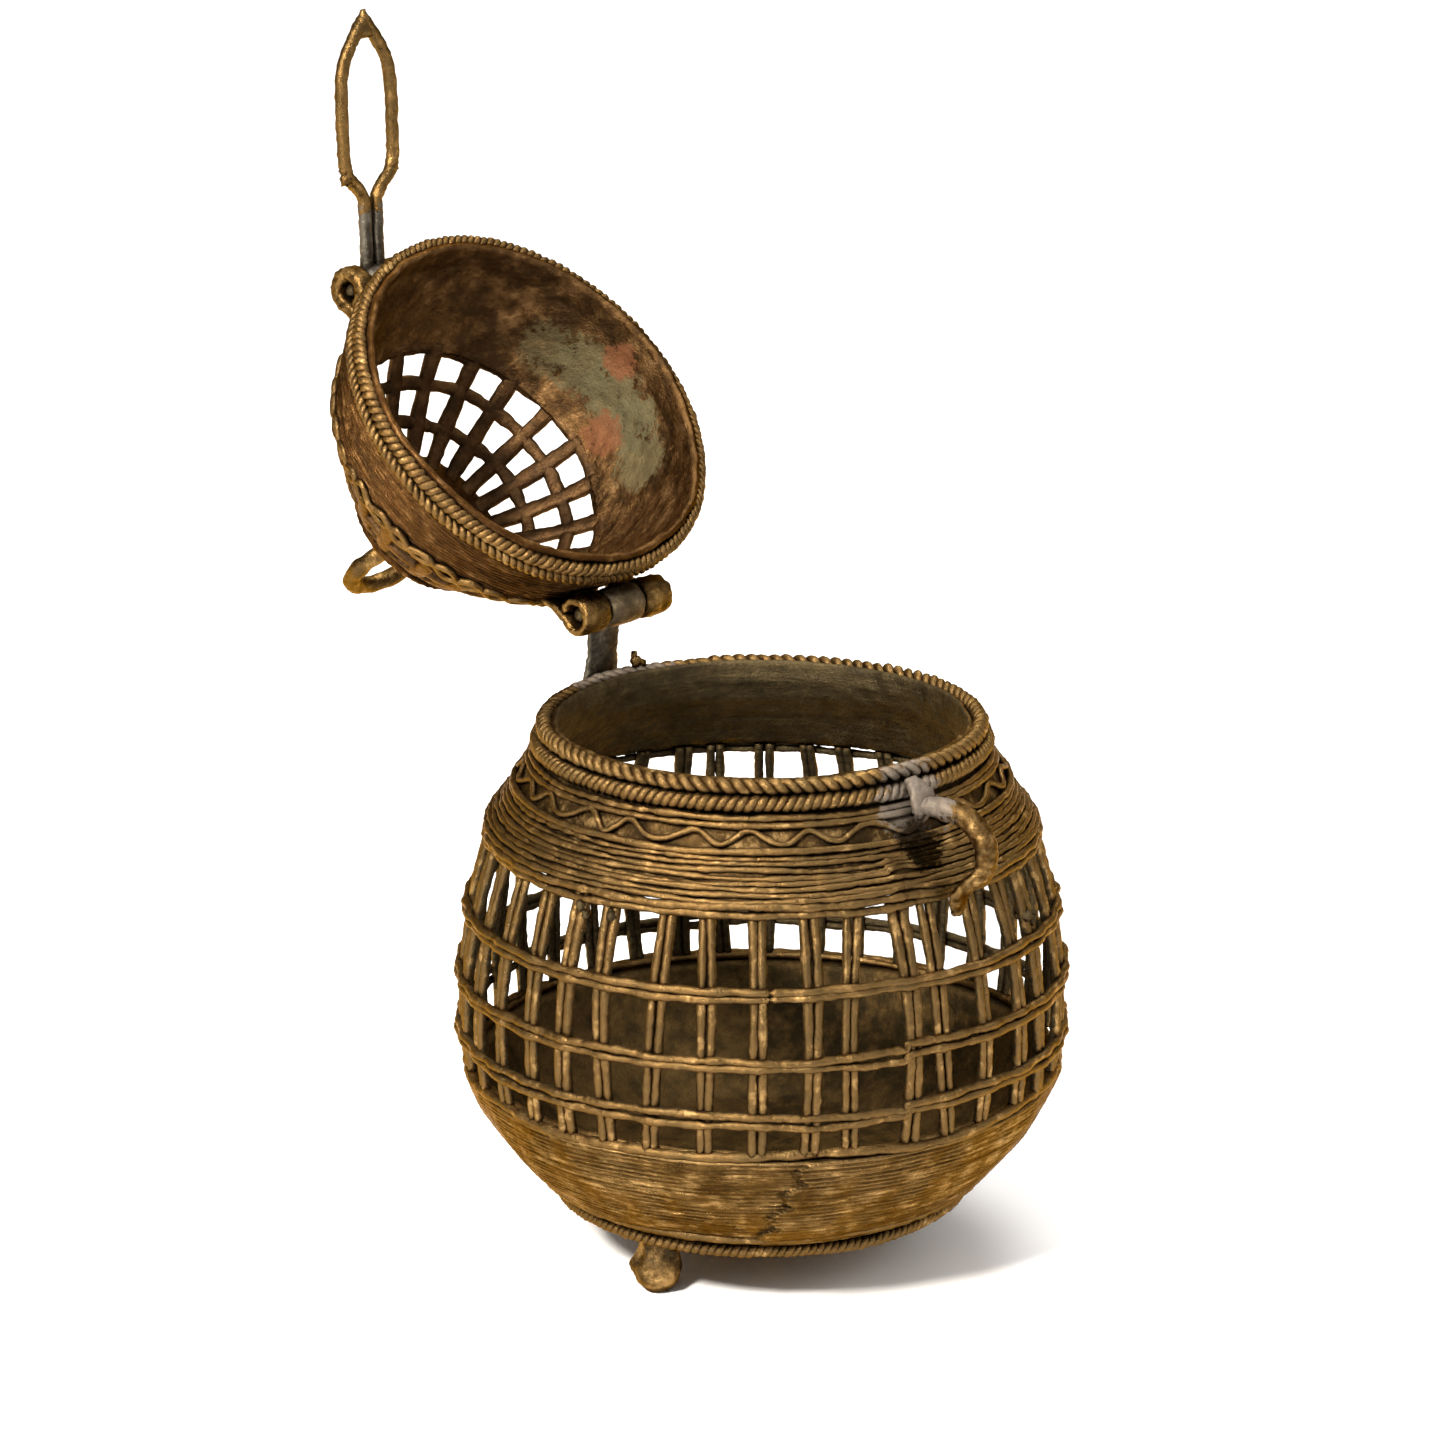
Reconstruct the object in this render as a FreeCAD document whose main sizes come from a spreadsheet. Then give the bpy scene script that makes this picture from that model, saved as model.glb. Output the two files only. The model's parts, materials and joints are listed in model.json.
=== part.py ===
"""Openwork brass censer pot with a hinged dome lid and a locking hasp.

The origin is on the pot's upright axis, at the plane its feet stand on. +Z is up, the hinge is
on the +Y side and the staple for the hasp on the -Y side. The lid and the hasp are drawn in
their closed places and then turned open about their own hinge pins, which is how the pot rests.
All sizes are millimetres and degrees, and are driven by the sheet.
"""
import FreeCAD, Part
import math
import os

import Sketcher

SIZES = {
    # feet and bowl
    "foot_circle": 28.0, "foot_radius": 4.1, "foot_middle": 3.7, "foot_neck": 2.6,
    "base_underside": 9.6, "base_disc": 31.5, "bowl_floor": 13.2,
    "bowl_centre": 13.9, "bowl_centre_height": 42.9, "bowl_curve": 36.8, "bowl_wall": 3.2,
    "bowl_start": 12.3, "bowl_top": 31.6,
    "base_rope_radius": 33.2, "base_rope_height": 11.0, "base_wire_radius": 36.4,
    "base_wire_height": 14.4, "bowl_wire_radius": 48.3, "bowl_wire_height": 32.45,
    # openwork belly
    "belly_radius": 50.1, "belly_curve": 83.0, "belly_height": 43.0,
    "band_low": 38.8, "band_middle": 48.1, "band_high": 58.9, "band_top": 71.5,
    "band_thread": 0.62, "band_spread": 0.63, "bar_depth": 1.5, "bar_width": 3.0, "bar_turn": 3.1,
    # shoulder and rim
    "shoulder_low_radius": 45.0, "shoulder_low_height": 72.9,
    "shoulder_high_radius": 40.2, "shoulder_high_height": 79.1,
    "neck_radius": 36.4, "neck_height": 83.9, "rim_radius": 33.0, "rim_top": 89.6,
    "shoulder_wall": 1.9, "rib_depth": 0.35,
    "shoulder_wire_radius": 39.9, "shoulder_wire_height": 79.7,
    "neck_band_radius": 37.1, "neck_band_height": 83.6,
    "lower_rope_radius": 36.1, "lower_rope_height": 86.3,
    "upper_rope_radius": 35.1, "upper_rope_height": 88.9,
    "rope_thick": 1.22, "wire_thick": 0.85, "thin_wire": 0.6, "neck_band_thick": 1.0,
    "wave_height": 0.9, "wave_thread": 0.58, "wave_gap": 0.1, "wave_share": 0.26,
    # lid dome
    "lid_edge_radius": 30.5, "lid_edge_height": 90.0, "lid_wall": 1.6,
    "dome_centre": -24.4, "dome_centre_height": 82.5, "dome_curve": 58.0,
    "lid_lower_rope_radius": 32.45, "lid_lower_rope_height": 91.5,
    "lid_upper_rope_radius": 32.3, "lid_upper_rope_height": 94.1,
    "lid_wall_start": 95.6, "lid_wall_top": 110.6, "lid_wave_height": 108.0,
    "crown_ring_depth": 1.3, "crown_bar_depth": 1.4, "crown_bar_width": 2.9,
    "low_ring_top": 112.8, "middle_ring_foot": 116.0, "middle_ring_top": 118.1,
    "high_ring_foot": 121.6, "high_ring_top": 123.4,
    "crown_disc_low": 125.9, "crown_top": 130.9, "crown_disc_radius": 13.9,
    "handle_radius": 7.6, "handle_thick": 1.55, "handle_height": 138.9,
    # rear hinge
    "hinge_back": 34.4, "hinge_height": 101.5, "hinge_side": 2.5, "knuckle_radius": 3.4,
    "strap_width": 8.0, "lid_knuckle_width": 6.1, "knuckle_gap": 0.3,
    "pin_radius": 1.5, "pin_play": 0.05, "pin_recess": 0.6,
    "strap_inner": 37.42, "strap_thick": 1.9, "strap_foot": 83.4,
    "lip_reach": 6.4, "lip_rise": 1.2, "lip_thick": 1.7,
    # front hasp and its staple
    "hasp_front": 34.05, "hasp_height": 104.2, "hasp_side": -4.5, "lug_radius": 4.1,
    "hasp_eye_radius": 3.9, "hasp_eye_width": 5.2, "lug_width": 3.6, "hasp_pin_radius": 1.2,
    "hasp_thick": 2.3, "hasp_stem_width": 5.0, "stem_start": 1.9, "stem_length": 13.0,
    "hasp_reach": 46.3, "slot_start": 17.9, "slot_end": 38.6, "slot_width": 9.0, "loop_width": 13.6,
    "staple_side": -6.2, "staple_thick": 1.6,
    # resting pose
    "lid_open": 133.5, "hasp_out": 47.8,
}
BAR_COUNT = 38
CROWN_BAR_COUNT = 20
RIB_COUNT = 8
FOOT_DIRECTIONS = {"foot_left": 185.0, "foot_right": 341.0, "foot_rear": 80.0}
SHOULDER_WAVES = 25
LID_WAVES = 22
CONE_SPREAD = 2.6   # the plain cone under the neck spreads and drops by these
CONE_DROP = 3.6
TAB_ROUND = 0.6
TAB_SHIFT = -0.6   # the staple's beaten ends lie a little to this side of its rod
TOP_TAB = (-39.5, 83.2, (6.0, 1.55, 3.7))    # front, foot, and width, depth and height
LOW_TAB = (-47.75, 68.6, (3.6, 1.8, 5.0))
CONTACT = 0.02   # clearance left between pieces that lie on one another
BAND_CLEAR = 0.1   # clearance of the top band in the foot of the shoulder

document = FreeCAD.newDocument("censer")
sub_parts = []


# ---------------------------------------------------------------- sheet and value helpers
def fill_sheet():
    sheet = document.addObject("Spreadsheet::Sheet", "sizes")
    for row, (alias, value) in enumerate(SIZES.items(), start=1):
        sheet.set(f"A{row}", alias)
        sheet.set(f"B{row}", str(value))
        sheet.setAlias(f"B{row}", alias)
    document.recompute()
    return sheet


def at(alias, offset=0.0, sign=1.0):
    """A size as an expression for the sketch and as the number it starts from."""
    return (f"{sign} * sizes.{alias} + {offset}", sign * SIZES[alias] + offset)


def fixed(value):
    return (str(value), value)


def both(first, second, offset=0.0):
    """The sum of two sizes."""
    return (f"sizes.{first} + sizes.{second} + {offset}", SIZES[first] + SIZES[second] + offset)


def belly_at(height_alias, offset):
    """Radius of the belly's round profile at an offset from the height a size names."""
    expression = (f"sizes.belly_radius - sizes.belly_curve + sqrt(sizes.belly_curve ^ 2"
                  f" - (sizes.{height_alias} + {offset} - sizes.belly_height) ^ 2)")
    rise = SIZES[height_alias] + offset - SIZES["belly_height"]
    value = SIZES["belly_radius"] - SIZES["belly_curve"] + math.sqrt(SIZES["belly_curve"] ** 2 - rise ** 2)
    return (expression, value)


# ---------------------------------------------------------------- sketch helpers
def new_body(label):
    body = document.addObject("PartDesign::Body", label)
    body.Label = label
    if hasattr(body, "AllowCompound"):
        body.AllowCompound = True
    sub_parts.append(body)
    return body


def new_sketch(body, name, plane, shift=None):
    """A sketch on one of the body's own planes, moved along the plane's normal by a size."""
    sketch = body.newObject("Sketcher::SketchObject", f"{body.Label}_{name}")
    for feature in body.Origin.OriginFeatures:
        if feature.Role == plane:
            sketch.AttachmentSupport = [(feature, "")]
    sketch.MapMode = "FlatFace"
    if shift is not None:
        sketch.AttachmentOffset = FreeCAD.Placement(FreeCAD.Vector(0, 0, shift[1]), FreeCAD.Rotation())
        sketch.setExpression(".AttachmentOffset.Base.z", shift[0])
    return sketch


def pin_point(sketch, geometry, end, across, up):
    """Fix one point of a sketch by the sizes that give its two coordinates."""
    for kind, place in (("DistanceX", across), ("DistanceY", up)):
        if place is None:
            continue
        number = sketch.addConstraint(Sketcher.Constraint(kind, -1, 1, geometry, end, place[1]))
        sketch.setExpression(f"Constraints[{number}]", place[0])


def set_radius(sketch, geometry, radius):
    number = sketch.addConstraint(Sketcher.Constraint("Radius", geometry, radius[1]))
    sketch.setExpression(f"Constraints[{number}]", radius[0])


def draw_outline(sketch, corners):
    """A closed outline of straight lines through corners given as pairs of sizes."""
    first = sketch.GeometryCount
    points = [FreeCAD.Vector(across[1], up[1], 0) for across, up in corners]
    count = len(points)
    for index in range(count):
        sketch.addGeometry(Part.LineSegment(points[index], points[(index + 1) % count]))
    for index in range(count):
        following = first + (index + 1) % count
        sketch.addConstraint(Sketcher.Constraint("Coincident", first + index, 2, following, 1))
    for index, (across, up) in enumerate(corners):
        pin_point(sketch, first + index, 1, across, up)


def draw_circle(sketch, across, up, radius):
    centre = FreeCAD.Vector(across[1], up[1], 0)
    circle = sketch.addGeometry(Part.Circle(centre, FreeCAD.Vector(0, 0, 1), radius[1]))
    pin_point(sketch, circle, 3, across, up)
    set_radius(sketch, circle, radius)


def arc_on(centre, radius, low, high):
    """An arc bulging towards +X, between two heights, about a centre left of it."""
    middle = FreeCAD.Vector(centre[0][1], centre[1][1], 0)
    start = math.asin((low[1] - middle.y) / radius[1])
    finish = math.asin((high[1] - middle.y) / radius[1])
    return Part.ArcOfCircle(Part.Circle(middle, FreeCAD.Vector(0, 0, 1), radius[1]), start, finish)


def add_arc(sketch, centre, radius, low, high):
    """The arc of arc_on, held by its centre, its radius and the heights of its two ends."""
    arc = sketch.addGeometry(arc_on(centre, radius, low, high))
    pin_point(sketch, arc, 3, centre[0], centre[1])
    set_radius(sketch, arc, radius)
    pin_point(sketch, arc, 1, None, low)
    pin_point(sketch, arc, 2, None, high)
    return arc


def join_ends(sketch, first, second, end):
    """A straight line between the same end of two arcs."""
    line = sketch.addGeometry(Part.LineSegment(sketch.getPoint(first, end), sketch.getPoint(second, end)))
    sketch.addConstraint(Sketcher.Constraint("Coincident", line, 1, first, end))
    sketch.addConstraint(Sketcher.Constraint("Coincident", line, 2, second, end))


def connect(sketch, start, finish, corners):
    """Straight lines from one curve's end, through corners, to another curve's end."""
    places = [sketch.getPoint(*start)]
    places += [FreeCAD.Vector(across[1], up[1], 0) for across, up in corners]
    places.append(sketch.getPoint(*finish))
    lines = [sketch.addGeometry(Part.LineSegment(a, b)) for a, b in zip(places, places[1:])]
    sketch.addConstraint(Sketcher.Constraint("Coincident", lines[0], 1, *start))
    sketch.addConstraint(Sketcher.Constraint("Coincident", lines[-1], 2, *finish))
    for line, following in zip(lines, lines[1:]):
        sketch.addConstraint(Sketcher.Constraint("Coincident", line, 2, following, 1))
    for line, (across, up) in zip(lines, corners):
        pin_point(sketch, line, 2, across, up)


def draw_strip(sketch, centre, inner, outer, low, high):
    """The strip between two concentric arcs, cut off level at two heights."""
    outer_arc = add_arc(sketch, centre, outer, low, high)
    inner_arc = add_arc(sketch, centre, inner, low, high)
    join_ends(sketch, outer_arc, inner_arc, 1)
    join_ends(sketch, outer_arc, inner_arc, 2)


# ---------------------------------------------------------------- feature helpers
def revolve(body, sketch, kind="PartDesign::Revolution"):
    feature = body.newObject(kind, f"{sketch.Name}_turned")
    feature.Profile = sketch
    feature.ReferenceAxis = (sketch, ["V_Axis"])
    feature.Angle = 360.0
    body.Tip = feature
    sketch.Visibility = False
    return feature


def extrude(body, sketch, width, kind="PartDesign::Pad"):
    """A pad or pocket of a given whole width, half to each side of its sketch."""
    feature = body.newObject(kind, f"{sketch.Name}_block")
    feature.Profile = sketch
    feature.SideType = "Symmetric"
    feature.Length = width[1]
    feature.setExpression("Length", width[0])
    body.Tip = feature
    return feature


def repeat_round(body, feature, count):
    pattern = body.newObject("PartDesign::PolarPattern", f"{body.Label}_round")
    pattern.Originals = [feature]
    pattern.Axis = (feature.Profile[0], ["V_Axis"])
    pattern.Angle = 360.0
    pattern.Occurrences = count
    body.Tip = pattern


def ring(label, radius, height, thread):
    """A closed ring of round thread about the upright axis."""
    body = new_body(label)
    sketch = new_sketch(body, "section", "XZ_Plane")
    draw_circle(sketch, radius, height, thread)
    revolve(body, sketch)
    return body


def seat_ring(body, name, radius, height, thread):
    """The round channel in a wall that a ring of thread is pressed into."""
    sketch = new_sketch(body, name, "XZ_Plane")
    draw_circle(sketch, radius, height, (f"{thread[0]} + {CONTACT}", thread[1] + CONTACT))
    revolve(body, sketch, "PartDesign::Groove")


def rotation_about_x(angle, side_y, height):
    turn = FreeCAD.Rotation(FreeCAD.Vector(1, 0, 0), angle)
    return FreeCAD.Placement(FreeCAD.Vector(), turn, FreeCAD.Vector(0, side_y, height))


def lid_opened():
    return rotation_about_x(-SIZES["lid_open"], SIZES["hinge_back"], SIZES["hinge_height"])


def hasp_opened():
    """The hasp is drawn hanging straight down, swung out on its pin, then goes with the lid."""
    swing = rotation_about_x(-SIZES["hasp_out"], -SIZES["hasp_front"], SIZES["hasp_height"])
    return lid_opened().multiply(swing)


# ---------------------------------------------------------------- bowl, feet and base threads
def make_bowl():
    body = new_body("base_bowl")
    sketch = new_sketch(body, "section", "XZ_Plane")
    centre = (at("bowl_centre"), at("bowl_centre_height"))
    outer = at("bowl_curve")
    inner = ("sizes.bowl_curve - sizes.bowl_wall", SIZES["bowl_curve"] - SIZES["bowl_wall"])
    outer_arc = add_arc(sketch, centre, outer, at("bowl_start"), at("bowl_top"))
    inner_arc = add_arc(sketch, centre, inner, at("bowl_floor"), at("bowl_top"))
    join_ends(sketch, outer_arc, inner_arc, 2)
    flare = (at("base_disc", 1.1), at("base_underside", 2.0))
    underside = [(fixed(0), at("base_underside")), (at("base_disc"), at("base_underside"))]
    connect(sketch, (inner_arc, 1), (outer_arc, 1), [(fixed(0), at("bowl_floor"))] + underside + [flare])
    revolve(body, sketch)
    seat_ring(body, "rope_seat", at("base_rope_radius"), at("base_rope_height"), at("rope_thick"))
    seat_ring(body, "wire_seat", at("base_wire_radius"), at("base_wire_height"), at("wire_thick"))
    seat_ring(body, "edge_seat", at("bowl_wire_radius"), at("bowl_wire_height"), at("wire_thick"))


def make_base_threads():
    ring("base_rope", at("base_rope_radius"), at("base_rope_height"), at("rope_thick"))
    ring("base_wire", at("base_wire_radius"), at("base_wire_height"), at("wire_thick"))
    ring("bowl_edge_wire", at("bowl_wire_radius"), at("bowl_wire_height"), at("wire_thick"))


def make_feet():
    """Three cast drops with worn flats, set unevenly round the base."""
    for name, direction in FOOT_DIRECTIONS.items():
        body = new_body(name)
        sketch = new_sketch(body, "section", "XZ_Plane")
        centre = FreeCAD.Vector(0, SIZES["foot_middle"], 0)
        radius = SIZES["foot_radius"]
        start = math.asin(-SIZES["foot_middle"] / radius)
        finish = math.acos(SIZES["foot_neck"] / radius)
        drop = sketch.addGeometry(Part.ArcOfCircle(Part.Circle(centre, FreeCAD.Vector(0, 0, 1), radius),
                                                   start, finish))
        pin_point(sketch, drop, 3, fixed(0), at("foot_middle"))
        set_radius(sketch, drop, at("foot_radius"))
        pin_point(sketch, drop, 1, None, fixed(0))
        pin_point(sketch, drop, 2, at("foot_neck"), None)
        neck_top = at("base_underside", -CONTACT)
        connect(sketch, (drop, 2), (drop, 1),
                [(at("foot_neck"), neck_top), (fixed(0), neck_top), (fixed(0), fixed(0))])
        revolve(body, sketch)
        angle = math.radians(direction)
        reach = SIZES["foot_circle"]
        body.Placement.Base = FreeCAD.Vector(reach * math.cos(angle), reach * math.sin(angle), 0)


# ---------------------------------------------------------------- openwork belly
def make_bars():
    """Upright flat bars between the bowl's edge wire and the band under the shoulder."""
    body = new_body("lattice_bars")
    sketch = new_sketch(body, "section", "XZ_Plane")
    centre = (("sizes.belly_radius - sizes.belly_curve", SIZES["belly_radius"] - SIZES["belly_curve"]),
              at("belly_height"))
    outer = (f"sizes.belly_curve - sizes.band_thread - {CONTACT}",
             SIZES["belly_curve"] - SIZES["band_thread"] - CONTACT)
    inner = (f"{outer[0]} - sizes.bar_depth", outer[1] - SIZES["bar_depth"])
    low = both("bowl_wire_height", "wire_thick", CONTACT)
    high = at("shoulder_low_height", -0.6)
    draw_strip(sketch, centre, inner, outer, low, high)
    bar = extrude(body, sketch, at("bar_width"))
    repeat_round(body, bar, BAR_COUNT)
    body.Placement.Rotation = FreeCAD.Rotation(FreeCAD.Vector(0, 0, 1), SIZES["bar_turn"])


def make_band(label, height_alias):
    """A band of two threads, one laid over the other, round the outside of the bars."""
    body = new_body(label)
    for name, side in (("lower_thread", -1.0), ("upper_thread", 1.0)):
        sketch = new_sketch(body, name, "XZ_Plane")
        spread = side * SIZES["band_spread"]
        draw_circle(sketch, belly_at(height_alias, spread), at(height_alias, spread), at("band_thread"))
        revolve(body, sketch)


def make_belly():
    make_bars()
    make_band("lattice_band_low", "band_low")
    make_band("lattice_band_middle", "band_middle")
    make_band("lattice_band_high", "band_high")
    make_band("lattice_band_top", "band_top")


# ---------------------------------------------------------------- shoulder and rim
def shoulder_ribs():
    """Corners of the ribbed cone, from its foot to its top: a crest and a valley per rib."""
    corners = []
    fall = SIZES["shoulder_high_radius"] - SIZES["shoulder_low_radius"]
    rise = SIZES["shoulder_high_height"] - SIZES["shoulder_low_height"]
    for rib in range(2 * RIB_COUNT + 1):
        share = rib / (2 * RIB_COUNT)
        depth = 0.0 if rib % 2 else -SIZES["rib_depth"]
        corners.append((at("shoulder_low_radius", round(share * fall + depth, 4)),
                        at("shoulder_low_height", round(share * rise + depth, 4))))
    return corners


def make_shoulder():
    """The cast wall from the top of the openwork to the rim."""
    body = new_body("shoulder_shell")
    wall = SIZES["shoulder_wall"]
    sketch = new_sketch(body, "section", "XZ_Plane")
    outer = shoulder_ribs() + [
        (at("neck_radius", CONE_SPREAD), at("neck_height", -CONE_DROP)),
        (at("neck_radius"), at("neck_height")),
        (at("rim_radius", 2.0), at("rim_top", -3.4)),
        (at("rim_radius", 1.1), at("rim_top", -1.2)),
        (at("rim_radius", 0.9), at("rim_top")),
    ]
    inner = [
        (at("rim_radius"), at("rim_top")),
        (at("rim_radius"), at("rim_top", -3.2)),
        (at("neck_radius", -wall), at("neck_height", -0.8)),
        (at("shoulder_high_radius", -wall), at("shoulder_high_height", -0.7)),
        (at("shoulder_low_radius", -wall - 0.3), at("shoulder_low_height", -SIZES["rib_depth"])),
    ]
    draw_outline(sketch, outer + inner)
    revolve(body, sketch)
    spread = SIZES["band_spread"]
    seat_ring(body, "foot_seat", belly_at("band_top", spread), at("band_top", spread),
              at("band_thread", BAND_CLEAR))
    seat_ring(body, "wire_seat", at("shoulder_wire_radius"), at("shoulder_wire_height"), at("thin_wire"))
    seat_ring(body, "band_seat", at("neck_band_radius"), at("neck_band_height"), at("neck_band_thick"))
    seat_ring(body, "lower_seat", at("lower_rope_radius"), at("lower_rope_height"), at("rope_thick"))
    seat_ring(body, "upper_seat", at("upper_rope_radius"), at("upper_rope_height"), at("rope_thick"))


def make_rim_threads():
    ring("shoulder_wire", at("shoulder_wire_radius"), at("shoulder_wire_height"), at("thin_wire"))
    ring("neck_band", at("neck_band_radius"), at("neck_band_height"), at("neck_band_thick"))
    ring("rim_rope_lower", at("lower_rope_radius"), at("lower_rope_height"), at("rope_thick"))
    ring("rim_rope_upper", at("upper_rope_radius"), at("upper_rope_height"), at("rope_thick"))


def add_shape(label, shape, placement=FreeCAD.Placement()):
    feature = document.addObject("Part::Feature", label)
    feature.Label = label
    feature.Shape = shape
    feature.Placement = placement
    sub_parts.append(feature)


def wavy_ring(waves, place_at):
    """A closed thread bent up and down round the pot; place_at turns a climb into a place."""
    points = []
    for bend in range(2 * waves):
        turn = math.pi * bend / waves
        radius, height = place_at(SIZES["wave_height"] * (-1) ** bend)
        points.append(FreeCAD.Vector(radius * math.cos(turn), radius * math.sin(turn), height))
    start = (points[0] + points[1]) * 0.5
    profile = Part.Wire([Part.makeCircle(SIZES["wave_thread"], start, points[1] - points[0])])
    path = Part.makePolygon([start] + points[1:] + [points[0], start])
    mitred = 1
    return path.makePipeShell([profile], True, False, mitred)


def make_shoulder_wave():
    """The wavy thread lies on the plain cone between the neck band and the shoulder wire."""
    lean = math.atan2(CONE_SPREAD, CONE_DROP)
    gap = SIZES["wave_thread"] + SIZES["wave_gap"]
    share = SIZES["wave_share"]
    radius = SIZES["neck_radius"] + (1 - share) * CONE_SPREAD + gap * math.cos(lean)
    height = SIZES["neck_height"] - (1 - share) * CONE_DROP + gap * math.sin(lean)

    def on_cone(climb):
        return radius - climb * math.sin(lean), height + climb * math.cos(lean)

    add_shape("shoulder_wave", wavy_ring(SHOULDER_WAVES, on_cone))


# ---------------------------------------------------------------- hinge and staple on the pot
def make_hinge_strap():
    """The pot's half of the hinge: a strap on the rim, curled round the pin, with a stop lip."""
    body = new_body("hinge_strap")
    side = at("hinge_side")
    thick = SIZES["strap_thick"]
    knuckle = new_sketch(body, "knuckle", "YZ_Plane", side)
    draw_circle(knuckle, at("hinge_back"), at("hinge_height"), at("knuckle_radius"))
    extrude(body, knuckle, at("strap_width"))
    leaf = new_sketch(body, "leaf", "YZ_Plane", side)
    draw_outline(leaf, [
        (at("strap_inner", 1.0), at("strap_foot")), (at("strap_inner", 1.0 + thick), at("strap_foot")),
        (at("strap_inner", thick), at("rim_top", 1.6)),
        (both("hinge_back", "knuckle_radius"), at("hinge_height", -0.4)),
        (at("hinge_back", 1.2), at("hinge_height", -1.0)), (at("strap_inner", -0.4), at("rim_top", 2.4)),
        (at("strap_inner"), at("lower_rope_height")),
    ])
    extrude(body, leaf, at("strap_width"))
    lip = new_sketch(body, "lip", "YZ_Plane", side)
    lip_end = both("hinge_back", "lip_reach")
    rise_less_thickness = at("hinge_height", SIZES["lip_rise"] - SIZES["lip_thick"])
    draw_outline(lip, [
        (at("hinge_back", 1.6), at("hinge_height", -2.8)), (lip_end, rise_less_thickness),
        (lip_end, at("hinge_height", SIZES["lip_rise"])), (at("hinge_back", 1.6), at("hinge_height", 2.2)),
    ])
    extrude(body, lip, at("strap_width", -2.0))
    bore_knuckle(body, side, at("hinge_back"), at("hinge_height"), both("pin_radius", "pin_play"))
    seat_ring(body, "band_clear", at("neck_band_radius"), at("neck_band_height"), at("neck_band_thick"))


def bore_knuckle(body, side, across, up, radius):
    bore = new_sketch(body, "bore", "YZ_Plane", side)
    draw_circle(bore, across, up, radius)
    extrude(body, bore, fixed(30.0), "PartDesign::Pocket")


def make_pin(label, middle, length, across, up, radius):
    """A plain pin along X that ends a little inside the outer knuckles."""
    body = new_body(label)
    shank = new_sketch(body, "shank", "YZ_Plane", middle)
    draw_circle(shank, across, up, radius)
    extrude(body, shank, length)


def pin_length(middle_width, outer_width):
    """From end to end of a middle knuckle, two gaps and two outer knuckles, less both recesses."""
    expression = (f"sizes.{middle_width} + 2 * sizes.knuckle_gap + 2 * sizes.{outer_width}"
                  " - 2 * sizes.pin_recess")
    value = SIZES[middle_width] + 2 * (SIZES["knuckle_gap"] + SIZES[outer_width] - SIZES["pin_recess"])
    return (expression, value)


def outer_middle(side_alias, middle_width, outer_width, sign):
    """Where the middle of the outer knuckle lies, to one side of the middle one."""
    expression = (f"sizes.{side_alias} + {sign} * (sizes.{middle_width} / 2 + sizes.knuckle_gap"
                  f" + sizes.{outer_width} / 2)")
    reach = SIZES[middle_width] / 2 + SIZES["knuckle_gap"] + SIZES[outer_width] / 2
    return (expression, SIZES[side_alias] + sign * reach)


def staple_stations():
    """The rod's centre line, out from the rim, round and back to the openwork's top band."""
    side = SIZES["staple_side"]
    stations = [(-0.7, -39.3, 84.8), (-0.5, -41.0, 84.8), (0.1, -44.0, 84.7), (1.0, -47.4, 83.6),
                (1.6, -49.9, 81.0), (1.8, -50.6, 78.1), (1.4, -50.2, 75.3), (0.2, -48.5, 73.4),
                (-0.6, -47.7, 71.8)]
    return [FreeCAD.Vector(side + shift, y, z) for shift, y, z in stations]


def rounded_tab(middle, front, foot, size):
    width, depth, height = size
    tab = Part.makeBox(width, depth, height, FreeCAD.Vector(middle - width / 2, front, foot))
    return tab.makeFillet(TAB_ROUND, tab.Edges)


def make_staple():
    """A bent rod with its two ends beaten flat where they lie on the pot."""
    curve = Part.BSplineCurve()
    curve.interpolate(Points=staple_stations())
    start = curve.value(curve.FirstParameter)
    way = curve.tangent(curve.FirstParameter)[0]
    profile = Part.Wire([Part.makeCircle(SIZES["staple_thick"], start, way)])
    rod = Part.Wire([curve.toShape()]).makePipeShell([profile], True, False)
    side = SIZES["staple_side"]
    top_tab = rounded_tab(side + TAB_SHIFT, *TOP_TAB)
    low_tab = rounded_tab(side + TAB_SHIFT, *LOW_TAB)
    add_shape("staple", rod.fuse([top_tab, low_tab]).removeSplitter())


# ---------------------------------------------------------------- lid
def dome_strip(body, name, outer_offset, inner_offset, low, high):
    """A strip that follows the dome's profile between two depths under its outer face."""
    sketch = new_sketch(body, name, "XZ_Plane")
    centre = (at("dome_centre"), at("dome_centre_height"))
    draw_strip(sketch, centre, at("dome_curve", -inner_offset), at("dome_curve", -outer_offset), low, high)
    return sketch


def make_lid_wall():
    body = new_body("lid_wall")
    depth = SIZES["lid_wall"]
    revolve(body, dome_strip(body, "dome", 0.0, depth, at("lid_wall_start", -0.4), at("lid_wall_top")))
    skirt = new_sketch(body, "skirt", "XZ_Plane")
    draw_outline(skirt, [
        (at("lid_edge_radius"), at("lid_edge_height")), (at("lid_edge_radius", 1.3), at("lid_edge_height")),
        (at("lid_edge_radius", 1.3), at("lid_wall_start", -0.2)),
        (at("lid_edge_radius", 1.0), at("lid_wall_start", 0.6)),
        (at("lid_edge_radius", -0.25), at("lid_wall_start", 0.6)),
        (at("lid_edge_radius"), at("lid_wall_start", -1.4)),
    ])
    revolve(body, skirt)
    seat_ring(body, "lower_seat", at("lid_lower_rope_radius"), at("lid_lower_rope_height"), at("rope_thick"))
    seat_ring(body, "upper_seat", at("lid_upper_rope_radius"), at("lid_upper_rope_height"), at("rope_thick"))


def make_lid_threads():
    ring("lid_rope_lower", at("lid_lower_rope_radius"), at("lid_lower_rope_height"), at("rope_thick"))
    ring("lid_rope_upper", at("lid_upper_rope_radius"), at("lid_upper_rope_height"), at("rope_thick"))


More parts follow.
